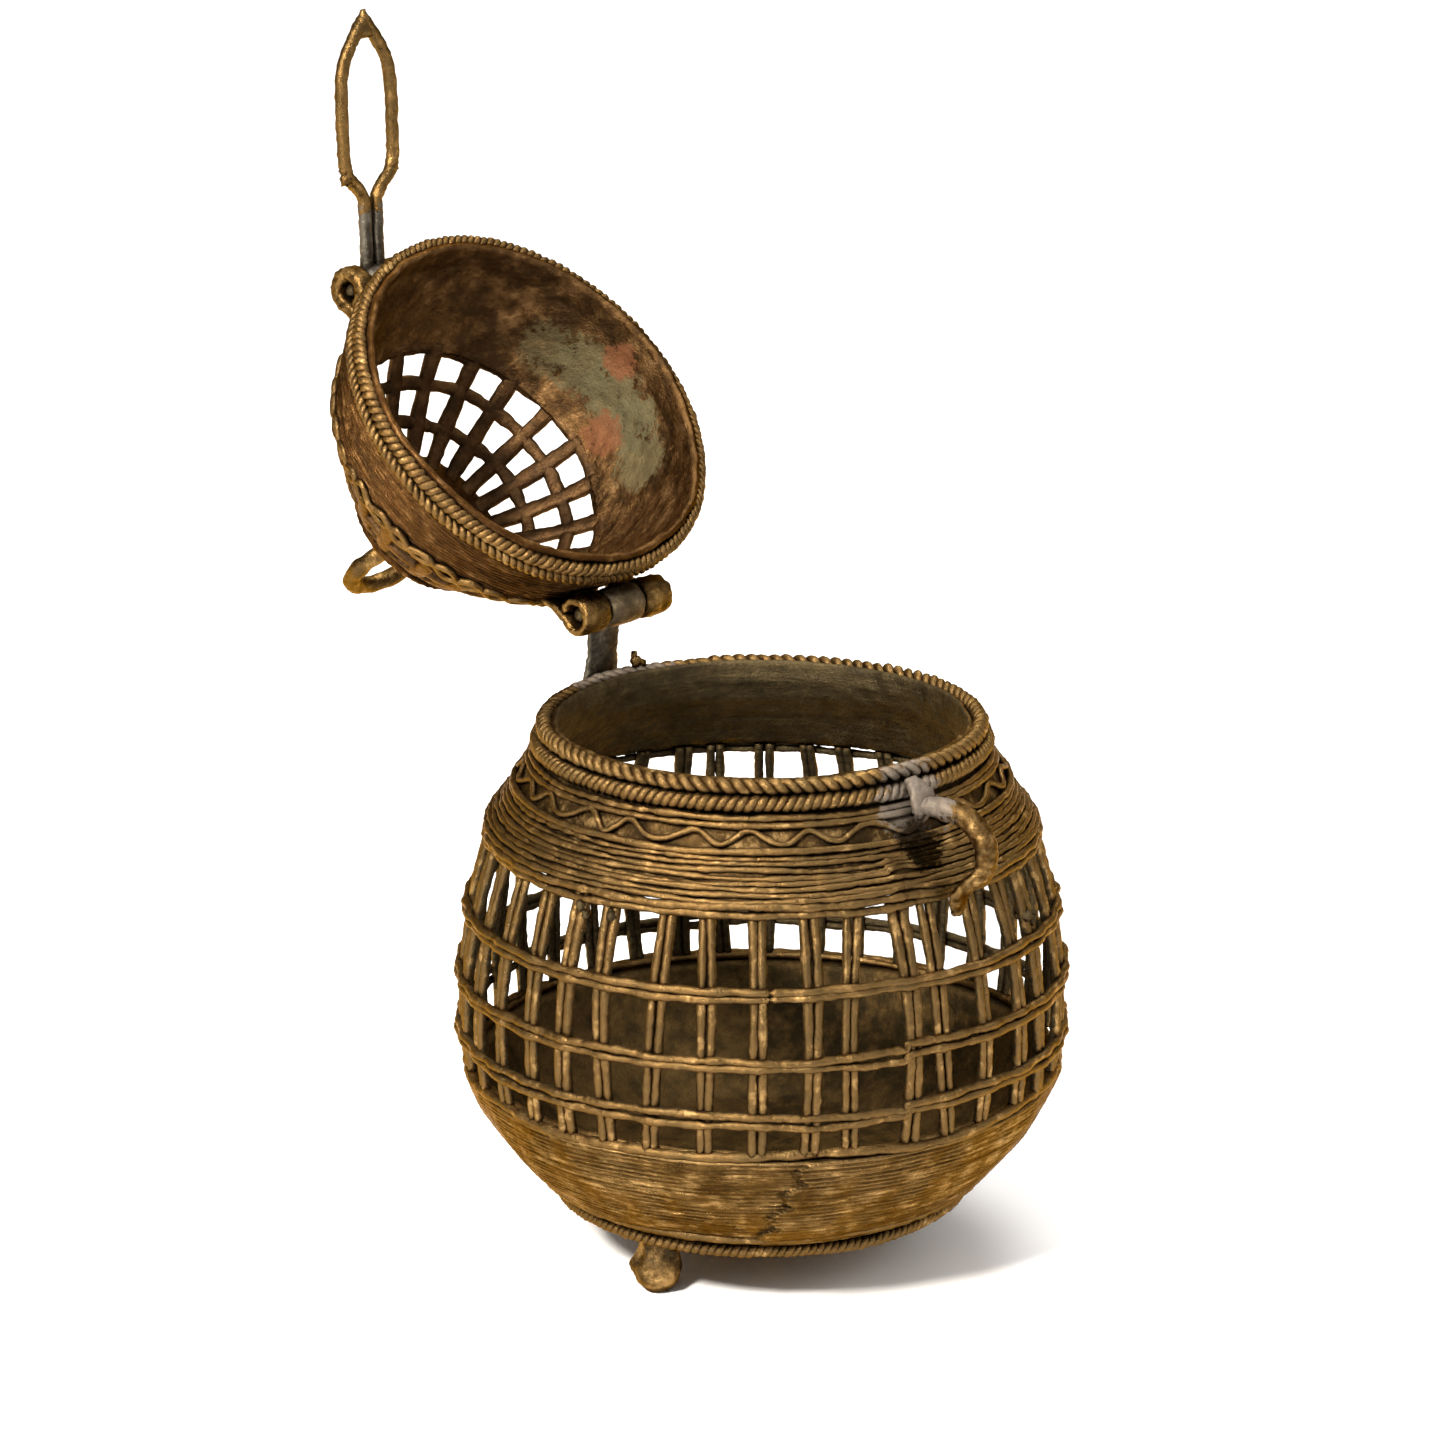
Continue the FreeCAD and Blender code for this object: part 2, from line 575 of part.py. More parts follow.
def make_crown_ring(label, low, high):
    body = new_body(label)
    revolve(body, dome_strip(body, "section", 0.0, SIZES["crown_ring_depth"], low, high))


def make_crown():
    """The openwork crown: radial bars inside three rings, closed by a disc."""
    ring_depth = SIZES["crown_ring_depth"]
    make_crown_ring("crown_ring_low", at("lid_wall_top", CONTACT), at("low_ring_top"))
    make_crown_ring("crown_ring_middle", at("middle_ring_foot"), at("middle_ring_top"))
    make_crown_ring("crown_ring_high", at("high_ring_foot"), at("high_ring_top"))
    bars = new_body("crown_bars")
    inner = ring_depth + CONTACT + SIZES["crown_bar_depth"]
    section = dome_strip(bars, "section", ring_depth + CONTACT, inner,
                         at("lid_wall_top", CONTACT), at("crown_disc_low"))
    bar = extrude(bars, section, at("crown_bar_width"))
    repeat_round(bars, bar, CROWN_BAR_COUNT)


def make_crown_disc():
    """The solid crown under the handle, hollowed where the handle's ring is let into it."""
    disc = document.addObject("PartDesign::Body", "crown_blank")
    sketch = new_sketch(disc, "section", "XZ_Plane")
    draw_outline(sketch, [
        (fixed(0), at("crown_disc_low", 0.1)),
        (at("crown_disc_radius", -0.3), at("crown_disc_low", 0.1)),
        (at("crown_disc_radius"), at("crown_disc_low", 0.9)),
        (at("crown_disc_radius", -2.7), at("crown_top", -2.2)),
        (at("crown_disc_radius", -7.4), at("crown_top", -0.4)), (fixed(0), at("crown_top", 0.4)),
    ])
    revolve(disc, sketch)
    seat = torus("handle_seat", CONTACT)
    cut = document.addObject("Part::Cut", "crown_disc")
    cut.Label = "crown_disc"
    cut.Base = disc
    cut.Tool = seat
    sub_parts.append(cut)


def torus(label, growth):
    """The handle's ring, upright in the plane of the lid's axis and the hinge line."""
    shape = document.addObject("Part::Torus", label)
    shape.Label = label
    shape.setExpression("Radius1", "sizes.handle_radius")
    shape.setExpression("Radius2", f"sizes.handle_thick + {growth}")
    upright = FreeCAD.Rotation(FreeCAD.Vector(1, 0, 0), 90)
    shape.Placement = FreeCAD.Placement(FreeCAD.Vector(0, 0, SIZES["handle_height"]), upright)
    return shape


def make_lid_wave():
    """A wavy thread laid round the dome's wall."""
    reach = SIZES["dome_curve"] + SIZES["wave_thread"] + SIZES["wave_gap"]
    middle = math.asin((SIZES["lid_wave_height"] - SIZES["dome_centre_height"]) / reach)

    def on_dome(climb):
        slope = middle + climb / reach
        level = SIZES["dome_centre_height"] + reach * math.sin(slope)
        return SIZES["dome_centre"] + reach * math.cos(slope), level

    add_shape("lid_wave", wavy_ring(LID_WAVES, on_dome), lid_opened())


def clear_dome(body):
    """Take away whatever of a leaf would lie inside the dome's outer face."""
    sketch = new_sketch(body, "dome_clear", "XZ_Plane")
    centre = (at("dome_centre"), at("dome_centre_height"))
    draw_strip(sketch, centre, at("dome_curve", -12.0), at("dome_curve", CONTACT),
               at("lid_wall_start"), at("lid_wall_top", 6.0))
    revolve(body, sketch, "PartDesign::Groove")


def make_lid_knuckle(label, side):
    """The lid's half of the hinge: a leaf on the dome, curled round the pin."""
    body = new_body(label)
    knuckle = new_sketch(body, "knuckle", "YZ_Plane", side)
    draw_circle(knuckle, at("hinge_back"), at("hinge_height"), at("knuckle_radius"))
    extrude(body, knuckle, at("lid_knuckle_width"))
    leaf = new_sketch(body, "leaf", "YZ_Plane", side)
    draw_outline(leaf, [
        (at("hinge_back"), at("hinge_height", 3.4)), (at("hinge_back", -6.6), at("hinge_height", 3.9)),
        (at("hinge_back", -6.6), at("hinge_height", 1.6)), (at("hinge_back", -1.0), at("hinge_height", 1.4)),
    ])
    extrude(body, leaf, at("lid_knuckle_width"))
    bore_knuckle(body, side, at("hinge_back"), at("hinge_height"), both("pin_radius", "pin_play"))
    clear_dome(body)
    return body


def make_hasp_lug(label, side):
    """One of the two curled lugs on the dome that carry the hasp's pin."""
    body = new_body(label)
    knuckle = new_sketch(body, "knuckle", "YZ_Plane", side)
    across = at("hasp_front", 0.0, -1.0)
    draw_circle(knuckle, across, at("hasp_height"), at("lug_radius"))
    extrude(body, knuckle, at("lug_width"))
    leaf = new_sketch(body, "leaf", "YZ_Plane", side)
    draw_outline(leaf, [
        (at("hasp_front", 1.0, -1.0), at("hasp_height", 3.6)),
        (at("hasp_front", 6.4, -1.0), at("hasp_height", 1.6)),
        (at("hasp_front", 6.4, -1.0), at("hasp_height", -2.4)),
        (at("hasp_front", 1.0, -1.0), at("hasp_height", -3.6)),
    ])
    extrude(body, leaf, at("lug_width"))
    bore_knuckle(body, side, across, at("hasp_height"), both("hasp_pin_radius", "pin_play"))
    clear_dome(body)
    return body


def make_lid():
    first = len(sub_parts)
    make_lid_wall()
    make_lid_threads()
    make_crown()
    make_crown_disc()
    sub_parts.append(torus("ring_handle", 0.0))
    for name, sign in (("left", -1), ("right", 1)):
        middle = outer_middle("hinge_side", "strap_width", "lid_knuckle_width", sign)
        make_lid_knuckle(f"lid_knuckle_{name}", middle)
        middle = outer_middle("hasp_side", "hasp_eye_width", "lug_width", sign)
        make_hasp_lug(f"hasp_lug_{name}", middle)
    make_pin("hasp_pin", at("hasp_side"), pin_length("hasp_eye_width", "lug_width"),
             at("hasp_front", 0.0, -1.0), at("hasp_height"), at("hasp_pin_radius"))
    opened = lid_opened()
    for part in sub_parts[first:]:
        part.Placement = opened.multiply(part.Placement)
    make_lid_wave()


# ---------------------------------------------------------------- hasp
def hasp_outline(half_widths):
    """A closed outline, mirrored about the hasp's middle, from distances along it and widths."""
    left = [(at("hasp_side", -width), at("hasp_height", -along)) for along, width in half_widths]
    right = [(at("hasp_side", width), at("hasp_height", -along)) for along, width in reversed(half_widths)]
    return left + right


def make_hasp():
    front = at("hasp_front")
    stem = new_body("hasp_stem")
    eye = new_sketch(stem, "eye", "YZ_Plane", at("hasp_side"))
    across = at("hasp_front", 0.0, -1.0)
    draw_circle(eye, across, at("hasp_height"), at("hasp_eye_radius"))
    extrude(stem, eye, at("hasp_eye_width"))
    half_stem = SIZES["hasp_stem_width"] / 2
    shank = new_sketch(stem, "shank", "XZ_Plane", front)
    stem_end = SIZES["stem_length"]
    draw_outline(shank, hasp_outline([(SIZES["stem_start"], half_stem), (stem_end, half_stem)]))
    extrude(stem, shank, at("hasp_thick"))
    bore_knuckle(stem, at("hasp_side"), across, at("hasp_height"), both("hasp_pin_radius", "pin_play"))
    loop = new_body("hasp_loop")
    frame = new_sketch(loop, "frame", "XZ_Plane", front)
    half_loop = SIZES["loop_width"] / 2
    reach = SIZES["hasp_reach"]
    draw_outline(frame, hasp_outline([
        (stem_end + CONTACT, half_stem), (16.2, half_stem + 0.5), (20.6, half_loop - 0.8), (24.0, half_loop),
        (35.5, half_loop), (40.2, half_loop - 2.0), (reach - 0.8, 1.9), (reach, 0.9),
    ]))
    extrude(loop, frame, at("hasp_thick"))
    slot = new_sketch(loop, "slot", "XZ_Plane", front)
    half_slot = SIZES["slot_width"] / 2
    slot_start, slot_end = SIZES["slot_start"], SIZES["slot_end"]
    draw_outline(slot, hasp_outline([
        (slot_start, half_slot - 1.2), (slot_start + 2.6, half_slot),
        (slot_end - 3.4, half_slot), (slot_end, half_slot - 2.4),
    ]))
    extrude(loop, slot, at("hasp_thick", 4.0), "PartDesign::Pocket")
    for part in (stem, loop):
        part.Placement = hasp_opened()


# ---------------------------------------------------------------- build, check and write
def find_faults():
    faults = []
    for item in document.Objects:
        if "Invalid" in item.State or "Error" in item.State:
            faults.append(f"{item.Name} {item.State}")
    for part in sub_parts:
        if part.Shape.isNull() or not part.Shape.isValid() or not part.Shape.Solids:
            faults.append(f"{part.Label} has no sound shape")
    return faults


def write_parts():
    os.makedirs("parts", exist_ok=True)
    for part in sub_parts:
        part.Shape.exportStep(f"parts/{part.Label}.step")
        box = part.Shape.BoundBox
        print(f"{part.Label:18s} solids {len(part.Shape.Solids):2d} volume {part.Shape.Volume:9.1f}"
              f"  x {box.XMin:7.1f} {box.XMax:7.1f}  y {box.YMin:7.1f} {box.YMax:7.1f}"
              f"  z {box.ZMin:7.1f} {box.ZMax:7.1f}")


fill_sheet()
make_bowl()
make_base_threads()
make_feet()
make_belly()
make_shoulder()
make_rim_threads()
make_shoulder_wave()
make_hinge_strap()
make_pin("hinge_pin", at("hinge_side"), pin_length("strap_width", "lid_knuckle_width"),
         at("hinge_back"), at("hinge_height"), at("pin_radius"))
make_staple()
make_lid()
make_hasp()
document.recompute()
problems = find_faults()
if problems:
    raise RuntimeError("; ".join(problems))
write_parts()
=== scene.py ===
"""Looks of the openwork brass censer pot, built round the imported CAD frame.

Everything is worked out in millimetres in the part's frame and written to meshes in metres. The
lid's and the hasp's pieces are drawn with the pot shut and carried to their resting places.
"""
import json
import math

import bpy
import numpy as np
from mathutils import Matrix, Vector


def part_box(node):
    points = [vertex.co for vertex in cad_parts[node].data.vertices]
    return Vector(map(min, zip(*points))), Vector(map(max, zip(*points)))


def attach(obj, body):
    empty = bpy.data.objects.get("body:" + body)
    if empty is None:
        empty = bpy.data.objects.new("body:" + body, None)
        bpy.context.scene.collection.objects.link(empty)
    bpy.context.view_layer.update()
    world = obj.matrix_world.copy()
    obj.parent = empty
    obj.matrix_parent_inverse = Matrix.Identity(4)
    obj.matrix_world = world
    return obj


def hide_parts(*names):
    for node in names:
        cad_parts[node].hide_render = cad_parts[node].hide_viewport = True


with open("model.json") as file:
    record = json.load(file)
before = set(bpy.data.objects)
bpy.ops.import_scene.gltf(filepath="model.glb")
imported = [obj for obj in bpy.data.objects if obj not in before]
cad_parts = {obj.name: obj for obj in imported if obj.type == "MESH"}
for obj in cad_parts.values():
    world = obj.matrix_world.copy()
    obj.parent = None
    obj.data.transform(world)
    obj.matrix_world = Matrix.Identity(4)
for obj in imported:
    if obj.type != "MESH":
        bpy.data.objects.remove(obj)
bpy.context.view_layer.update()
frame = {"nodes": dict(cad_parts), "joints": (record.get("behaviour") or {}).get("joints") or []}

MM = 0.001
TURN = 2 * math.pi
NOISE_WAVES = 7
ALONG_X = np.array([1.0, 0.0, 0.0])
ALONG_Y = np.array([0.0, 1.0, 0.0])
UP = np.array([0.0, 0.0, 1.0])

BAR_COUNT = 38
BAR_PHASE = 3.1                  # degrees
CROWN_BAR_COUNT = 20
SEAM = math.radians(249.0)       # where the bands' ends meet, in line with the staple
CAMERA_SIDE = math.radians(222.0)

BELLY_CENTRE = (-32.9, 43.0)     # radius and height of the middle of the belly's round profile
BELLY_CURVE = 83.0
BOWL_CENTRE = (13.9, 42.9)
BOWL_CURVE = 36.8
DOME_CENTRE = (-24.4, 82.5)
DOME_CURVE = 58.0
POT_MIDDLE = 45.0 * UP           # places that the linings look towards
SHOULDER_MIDDLE = 78.0 * UP
LID_MIDDLE = 95.0 * UP
RIB_PITCH = 0.82                 # of the bowl's fine ribs
LID_RIB_PITCH = 0.92
STAPLE_SIDE = -6.2               # the staple stands to one side


# ---- where things are in the frame
def joint(name):
    return next(j for j in frame["joints"] if j["name"] == name)


HINGE = np.array(joint("lid_hinge")["pos_m"]) / MM
LID_OPEN = math.radians(joint("lid_hinge")["range_deg"][1])
HASP_OUT = math.radians(47.8)    # from hanging straight down, lid shut, to its resting place


def turned(points, pivot, angle):
    """Points turned about a line through pivot that lies along X."""
    cosine, sine = math.cos(angle), math.sin(angle)
    moved = np.array(points, float) - pivot
    y, z = moved[:, 1].copy(), moved[:, 2].copy()
    moved[:, 1] = cosine * y - sine * z
    moved[:, 2] = sine * y + cosine * z
    return moved + pivot


def closed_points(node):
    """A lid node's corners, in mm, with the lid shut."""
    mesh = frame["nodes"][node].data
    flat = np.zeros(len(mesh.vertices) * 3)
    mesh.vertices.foreach_get("co", flat)
    return turned(flat.reshape(-1, 3) / MM, HINGE, LID_OPEN)


def box_of(node, in_lid=False):
    """Lowest and highest corner of a CAD node, in mm; in_lid reads it with the lid shut."""
    if in_lid:
        points = closed_points(node)
        return points.min(axis=0), points.max(axis=0)
    low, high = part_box(node)
    return np.array(low) / MM, np.array(high) / MM


def span_of(node, in_lid=False):
    """Middle and half width of a CAD node along X."""
    low, high = box_of(node, in_lid)
    return (low[0] + high[0]) / 2, (high[0] - low[0]) / 2


def ring_of(node, in_lid=False):
    """Radius, height and thickness of a round ring of thread, read from its CAD node."""
    low, high = box_of(node, in_lid)
    thick = (high[2] - low[2]) / 2
    return high[0] - thick, (high[2] + low[2]) / 2, thick


HASP_PIN = closed_points("hasp_pin").mean(axis=0)


def to_pot(points):
    return points


def to_lid(points):
    return turned(points, HINGE, -LID_OPEN)


def to_hasp(points):
    return to_lid(turned(points, HASP_PIN, -HASP_OUT))


PLACES = {"pot": to_pot, "lid": to_lid, "hasp": to_hasp}


# ---- shapes
def turns(count):
    """Evenly spread angles round a circle."""
    return np.arange(count) * TURN / count


def noise_field(seed, size, amount):
    """A smooth random field over places: it swings by about amount, over about size."""
    source = np.random.default_rng(seed)
    ways = source.normal(size=(NOISE_WAVES, 3))
    ways /= np.linalg.norm(ways, axis=1)[:, None]
    ways *= (TURN / size * source.uniform(0.45, 1.5, NOISE_WAVES))[:, None]
    phases = source.uniform(0, TURN, NOISE_WAVES)

    def field(points):
        return amount * np.sin(points @ ways.T + phases).sum(axis=1) / math.sqrt(NOISE_WAVES / 2)

    return field


def unit(vectors):
    return vectors / np.maximum(np.linalg.norm(vectors, axis=-1, keepdims=True), 1e-9)


class Soup:
    """Points and faces gathered for one mesh."""

    def __init__(self):
        self.points = []
        self.faces = []
        self.count = 0

    def grid(self, rows, closed):
        """Rows of points, each a loop, joined one to the next; open ends are capped."""
        count, size = rows.shape[:2]
        loops = (self.count + np.arange(count * size)).reshape(count, size).tolist()
        for loop, after in zip(loops, loops[1:] + (loops[:1] if closed else [])):
            for column in range(size):
                beside = (column + 1) % size
                self.faces.append((loop[column], loop[beside], after[beside], after[column]))
        if not closed:
            self.faces += [tuple(loops[0][::-1]), tuple(loops[-1])]
        self.points.append(rows.reshape(-1, 3))
        self.count += count * size


def circle_section(sides=10):
    angles = turns(sides)
    return np.stack([np.cos(angles), np.sin(angles)], axis=1)


def block_section(sides, square):
    """A rounded block: a circle pushed out towards its corners."""
    angles = (np.arange(sides) + 0.5) * TURN / sides
    cosine, sine = np.cos(angles), np.sin(angles)
    reach = (np.abs(cosine) ** square + np.abs(sine) ** square) ** (-1 / square)
    return np.stack([cosine * reach, sine * reach], axis=1)


def sweep(soup, path, guide, section, across, beside, closed=False):
    """A section carried along a path; across is its half size towards the guide, beside the other."""
    path = np.asarray(path, float)
    count = len(path)
    guide = np.broadcast_to(guide, path.shape)
    across = np.broadcast_to(across, (count,))
    beside = np.broadcast_to(beside, (count,))
    if closed:
        tangent = unit(np.roll(path, -1, axis=0) - np.roll(path, 1, axis=0))
    else:
        tangent = unit(np.gradient(path, axis=0))
    first = unit(guide - (guide * tangent).sum(axis=1)[:, None] * tangent)
    second = np.cross(tangent, first)
    rows = (path[:, None, :]
            + (across[:, None] * section[None, :, 0])[:, :, None] * first[:, None, :]
            + (beside[:, None] * section[None, :, 1])[:, :, None] * second[:, None, :])
    soup.grid(rows, closed)


def rounded(path, across, beside, steps=4):
    """Adds domed ends to an open path: more points at each end, with sizes falling to nothing."""
    path = np.asarray(path, float)
    count = len(path)
    across = np.broadcast_to(across, (count,))
    beside = np.broadcast_to(beside, (count,))
    rise = np.sin(np.linspace(0, math.pi / 2, steps + 1))[1:]
    fall = np.cos(np.linspace(0, math.pi / 2, steps + 1))[1:]
    fall[-1] = 0.12
    start_way = unit(path[0] - path[1])
    end_way = unit(path[-1] - path[-2])
    start_size = min(across[0], beside[0])
    end_size = min(across[-1], beside[-1])
    head = path[0] + (rise[::-1] * start_size)[:, None] * start_way
    tail = path[-1] + (rise * end_size)[:, None] * end_way

    def sizes(values, smallest_first, smallest_last):
        head_sizes = values[0] - smallest_first * (1 - fall[::-1])
        tail_sizes = values[-1] - smallest_last * (1 - fall)
        return np.concatenate([head_sizes, values, tail_sizes])

    return (np.concatenate([head, path, tail]), sizes(across, start_size, end_size),
            sizes(beside, start_size, end_size))


def rod(soup, path, guide, across, beside, section=None):
    """An open rod with domed ends."""
    path, across, beside = rounded(path, across, beside)
    sweep(soup, path, guide, circle_section() if section is None else section, across, beside)


def smooth_path(stations, count):
    """A Catmull-Rom curve through rows of numbers, evenly read out at count places."""
    stations = np.asarray(stations, float)
    padded = np.concatenate([[2 * stations[0] - stations[1]], stations, [2 * stations[-1] - stations[-2]]])
    places = np.linspace(0, len(stations) - 1, count)
    index = np.minimum(places.astype(int), len(stations) - 2)
    share = (places - index)[:, None]
    before, start, end, after = (padded[index + step] for step in range(4))
    return 0.5 * (2 * start + (end - before) * share
                  + (2 * before - 5 * start + 4 * end - after) * share ** 2
                  + (3 * start - before - 3 * end + after) * share ** 3)


def round_places(angles, radius, height):
    """Places at turns round the upright axis, from arrays or numbers that fit together."""
    return np.stack(np.broadcast_arrays(radius * np.cos(angles), radius * np.sin(angles), height), axis=-1)


def ring_path(radius, height, count):
    return round_places(turns(count), radius, height)


def outward(points):
    return unit(points * np.array([1.0, 1.0, 0.0]))


def thread_ring(soup, radius, height, thick, seed, count=360, wander=0.12, lump=0.07, sides=10, slump=0.0):
    """A laid wax thread round the pot: a ring that wanders and swells, and sinks where its ends meet."""
    angles = turns(count)
    circle = ring_path(1.0, 0.0, count)
    drift = noise_field(seed, 0.55, wander)(circle)
    rise = noise_field(seed + 1, 0.6, wander)(circle)
    swell = 1 + noise_field(seed + 2, 0.09, lump)(circle)
    past = np.mod(angles - SEAM, TURN)
    sunk = slump * np.exp(-((past - 0.07) / 0.05) ** 2)
    rise += slump * 0.6 * np.exp(-past / 0.3)
    path = ring_path(radius + 0.4 * drift - sunk, height + rise, count)
    sweep(soup, path, outward(path), circle_section(sides), thick * swell, thick * swell, closed=True)


def rope_ring(soup, radius, height, thick, twists, hand, seed):
    """Two threads twisted into a rope and closed round the pot."""
    count = twists * 12
    angles = turns(count)
    circle = ring_path(1.0, 0.0, count)
    rise = noise_field(seed, 0.7, 0.12)(circle)
    uneven = noise_field(seed + 1, 0.5, 0.35)(circle)
    strand = thick * 0.56
    lay = thick - strand
    for half in (0, 1):
        twist = hand * (angles * twists + uneven) + half * math.pi
        size = strand * (1 + noise_field(seed + 2 + half, 0.05, 0.07)(circle))
        path = ring_path(radius + lay * np.cos(twist), height + rise + lay * np.sin(twist), count)
        sweep(soup, path, outward(path), circle_section(9), size, size, closed=True)


def lathe(soup, profile, count, field=None):
    """A closed outline of (radius, height) rows turned about the upright axis.

    A field takes turns, radii and heights and gives back the radii and heights it has moved.
    """
    profile = np.asarray(profile, float)
    angles = turns(count)[:, None]
    radius, height = profile[None, :, 0], profile[None, :, 1]
    if field is not None:
        radius, height = field(angles, radius, height)
    soup.grid(round_places(angles, radius, height), True)


def push_of(angles, radius, height, *fields):
    """How far smooth random fields push each place of a turned surface."""
    places = round_places(angles, radius, height)
    return sum(field(places.reshape(-1, 3)) for field in fields).reshape(places.shape[:2])


def on_profile(radius, height, centre, curve, reach):
    """Whether places lie within a reach of a round profile."""
    return np.abs(np.hypot(radius - centre[0], height - centre[1]) - curve) < reach


def round_profile(centre, curve, slope):
    """Radius and height on a round profile, at a slope above the level of its centre."""
    return centre[0] + curve * np.cos(slope), centre[1] + curve * np.sin(slope)


def arc_profile(centre, curve, low, high, count):
    """(radius, height) rows up the outer side of a round profile, between two heights."""
    start = math.asin((low - centre[1]) / curve)
    finish = math.asin((high - centre[1]) / curve)
    return np.stack(round_profile(centre, curve, np.linspace(start, finish, count)), axis=1)


def line_profile(corners, step):
    """(radius, height) rows along straight runs, no further apart than a step."""
    rows = []
    for start, end in zip(corners, corners[1:]):
        start, end = np.array(start, float), np.array(end, float)
        pieces = max(1, int(np.linalg.norm(end - start) / step))
        rows += [start + (end - start) * index / pieces for index in range(pieces)]
    rows.append(np.array(corners[-1], float))
    return np.array(rows)


def blob(soup, place, size, seed):
    """A small bead of spilt metal."""
    rows, columns = 7, 10
    lump = noise_field(seed, 1.2, 0.14)
    tilt = np.linspace(0.12, math.pi - 0.12, rows)[:, None]
    turn = turns(columns)
    flat = round_places(turn, np.sin(tilt), np.cos(tilt)).reshape(-1, 3)
    flat = flat * (1 + lump(flat * 3))[:, None] * size + place
    soup.grid(flat.reshape(rows, columns, 3), False)


def put_in_scene(name, data):
    thing = bpy.data.objects.new(name, data)
    bpy.context.scene.collection.objects.link(thing)
    return thing


def publish(name, soup, body, node, finish, grain=0.03, seed=1, lining=None):
    """Turns gathered shapes into one visible piece that stands for a CAD node.

    A lining is a second finish, for the faces of a shell that look towards the place it goes round.
    """
    shape = np.concatenate(soup.points)
    shape = shape + np.stack([noise_field(seed * 11 + axis, 1.3, grain)(shape) for axis in range(3)], axis=1)
    mesh = bpy.data.meshes.new(name)
    mesh.from_pydata((PLACES[body](shape) * MM).tolist(), [], soup.faces)
    mesh.polygons.foreach_set("use_smooth", [True] * len(mesh.polygons))
    mesh.update()
    piece = put_in_scene(name, mesh)
    mesh.materials.append(materials[finish])
    if lining is not None:
        inner_finish, middle = lining
        mesh.materials.append(materials[inner_finish])
        corners = np.array([face[:3] for face in soup.faces])
        first, second, third = (shape[corners[:, corner]] for corner in range(3))
        facing = (np.cross(second - first, third - first) * (first - middle)).sum(axis=1)
        facing *= np.sign(facing.sum())
        mesh.polygons.foreach_set("material_index", (facing < 0).astype(int).tolist())
    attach(piece, body)
    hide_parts(node)


# ---- brass
def set_range(node, low, high, start, end):
    for socket, number in zip(("From Min", "From Max", "To Min", "To Max"), (low, high, start, end)):
        node.inputs[socket].default_value = number


class Tree:
    """Short ways to build a material's node tree."""

    def __init__(self, name):
        self.material = bpy.data.materials.new(name)
        self.material.use_nodes = True
        self.nodes = self.material.node_tree.nodes
        self.links = self.material.node_tree.links
        self.shader = self.nodes["Principled BSDF"]
        self.place = self.add("ShaderNodeTexCoord").outputs["Object"]

    def add(self, kind, **settings):
        node = self.nodes.new(kind)
        for name, value in settings.items():
            setattr(node, name, value)
        return node

    def feed(self, socket, value):
        if isinstance(value, bpy.types.NodeSocket):
            self.links.new(value, socket)
        else:
            socket.default_value = value

    def noise(self, scale, detail, roughness, squeeze=1.0, tilt=0.0):
        """Noise, squeezed up and down when it is layered; tilt stands a tipped piece upright first."""
        node = self.add("ShaderNodeTexNoise")
        place = self.place
        if squeeze != 1.0:
            mapping = self.add("ShaderNodeMapping", vector_type="TEXTURE")
            self.links.new(place, mapping.inputs["Vector"])
            mapping.inputs["Scale"].default_value = (1.0, 1.0, 1.0 / squeeze)
            mapping.inputs["Rotation"].default_value = (-tilt, 0.0, 0.0)
            place = mapping.outputs["Vector"]
        self.links.new(place, node.inputs["Vector"])
        node.inputs["Scale"].default_value = scale
        node.inputs["Detail"].default_value = detail
        node.inputs["Roughness"].default_value = roughness
        return node.outputs["Fac"]

    def ramp(self, value, low, high, start=0.0, end=1.0):
        """A smooth step of a value between two marks."""
        node = self.add("ShaderNodeMapRange", interpolation_type="SMOOTHSTEP")
        self.feed(node.inputs["Value"], value)
        set_range(node, low, high, start, end)
        return node.outputs["Result"]

    def maths(self, kind, first, second=0.0):
        node = self.add("ShaderNodeMath", operation=kind)
        self.feed(node.inputs[0], first)
        self.feed(node.inputs[1], second)
        return node.outputs[0]

    def plus(self, first, second):
        return self.maths("ADD", first, second)

    def times(self, first, second):
        return self.maths("MULTIPLY", first, second)

    def blend(self, share, first, second):
        """A mix of two colours, each a socket or red, green and blue."""
        node = self.add("ShaderNodeMix", data_type="RGBA")
        self.feed(node.inputs["Factor"], share)
        for socket, colour in (("A", first), ("B", second)):
            self.feed(node.inputs[socket], (*colour, 1.0) if isinstance(colour, tuple) else colour)
        return node.outputs["Result"]

    def nearness(self, place_mm, reach_mm):
        """1 at a place on the object, falling to 0 at a reach from it."""
        node = self.add("ShaderNodeVectorMath", operation="DISTANCE")
        self.links.new(self.place, node.inputs[0])
        node.inputs[1].default_value = [value * MM for value in place_mm]
        return self.ramp(node.outputs["Value"], 0.35 * reach_mm * MM, reach_mm * MM, 1.0, 0.0)

    def crevice(self, distance_mm, samples=6):
        """0 in the open and 1 deep in a gap."""
        node = self.add("ShaderNodeAmbientOcclusion", samples=samples)
        node.inputs["Distance"].default_value = distance_mm * MM
        return self.maths("SUBTRACT", 1.0, node.outputs["AO"])

    def bump(self, height, distance_mm, strength=1.0, under=None):
        node = self.add("ShaderNodeBump")
        node.inputs["Strength"].default_value = strength
        node.inputs["Distance"].default_value = distance_mm * MM
        self.links.new(height, node.inputs["Height"])
        if under is not None:
            self.links.new(under, node.inputs["Normal"])
        return node.outputs["Normal"]


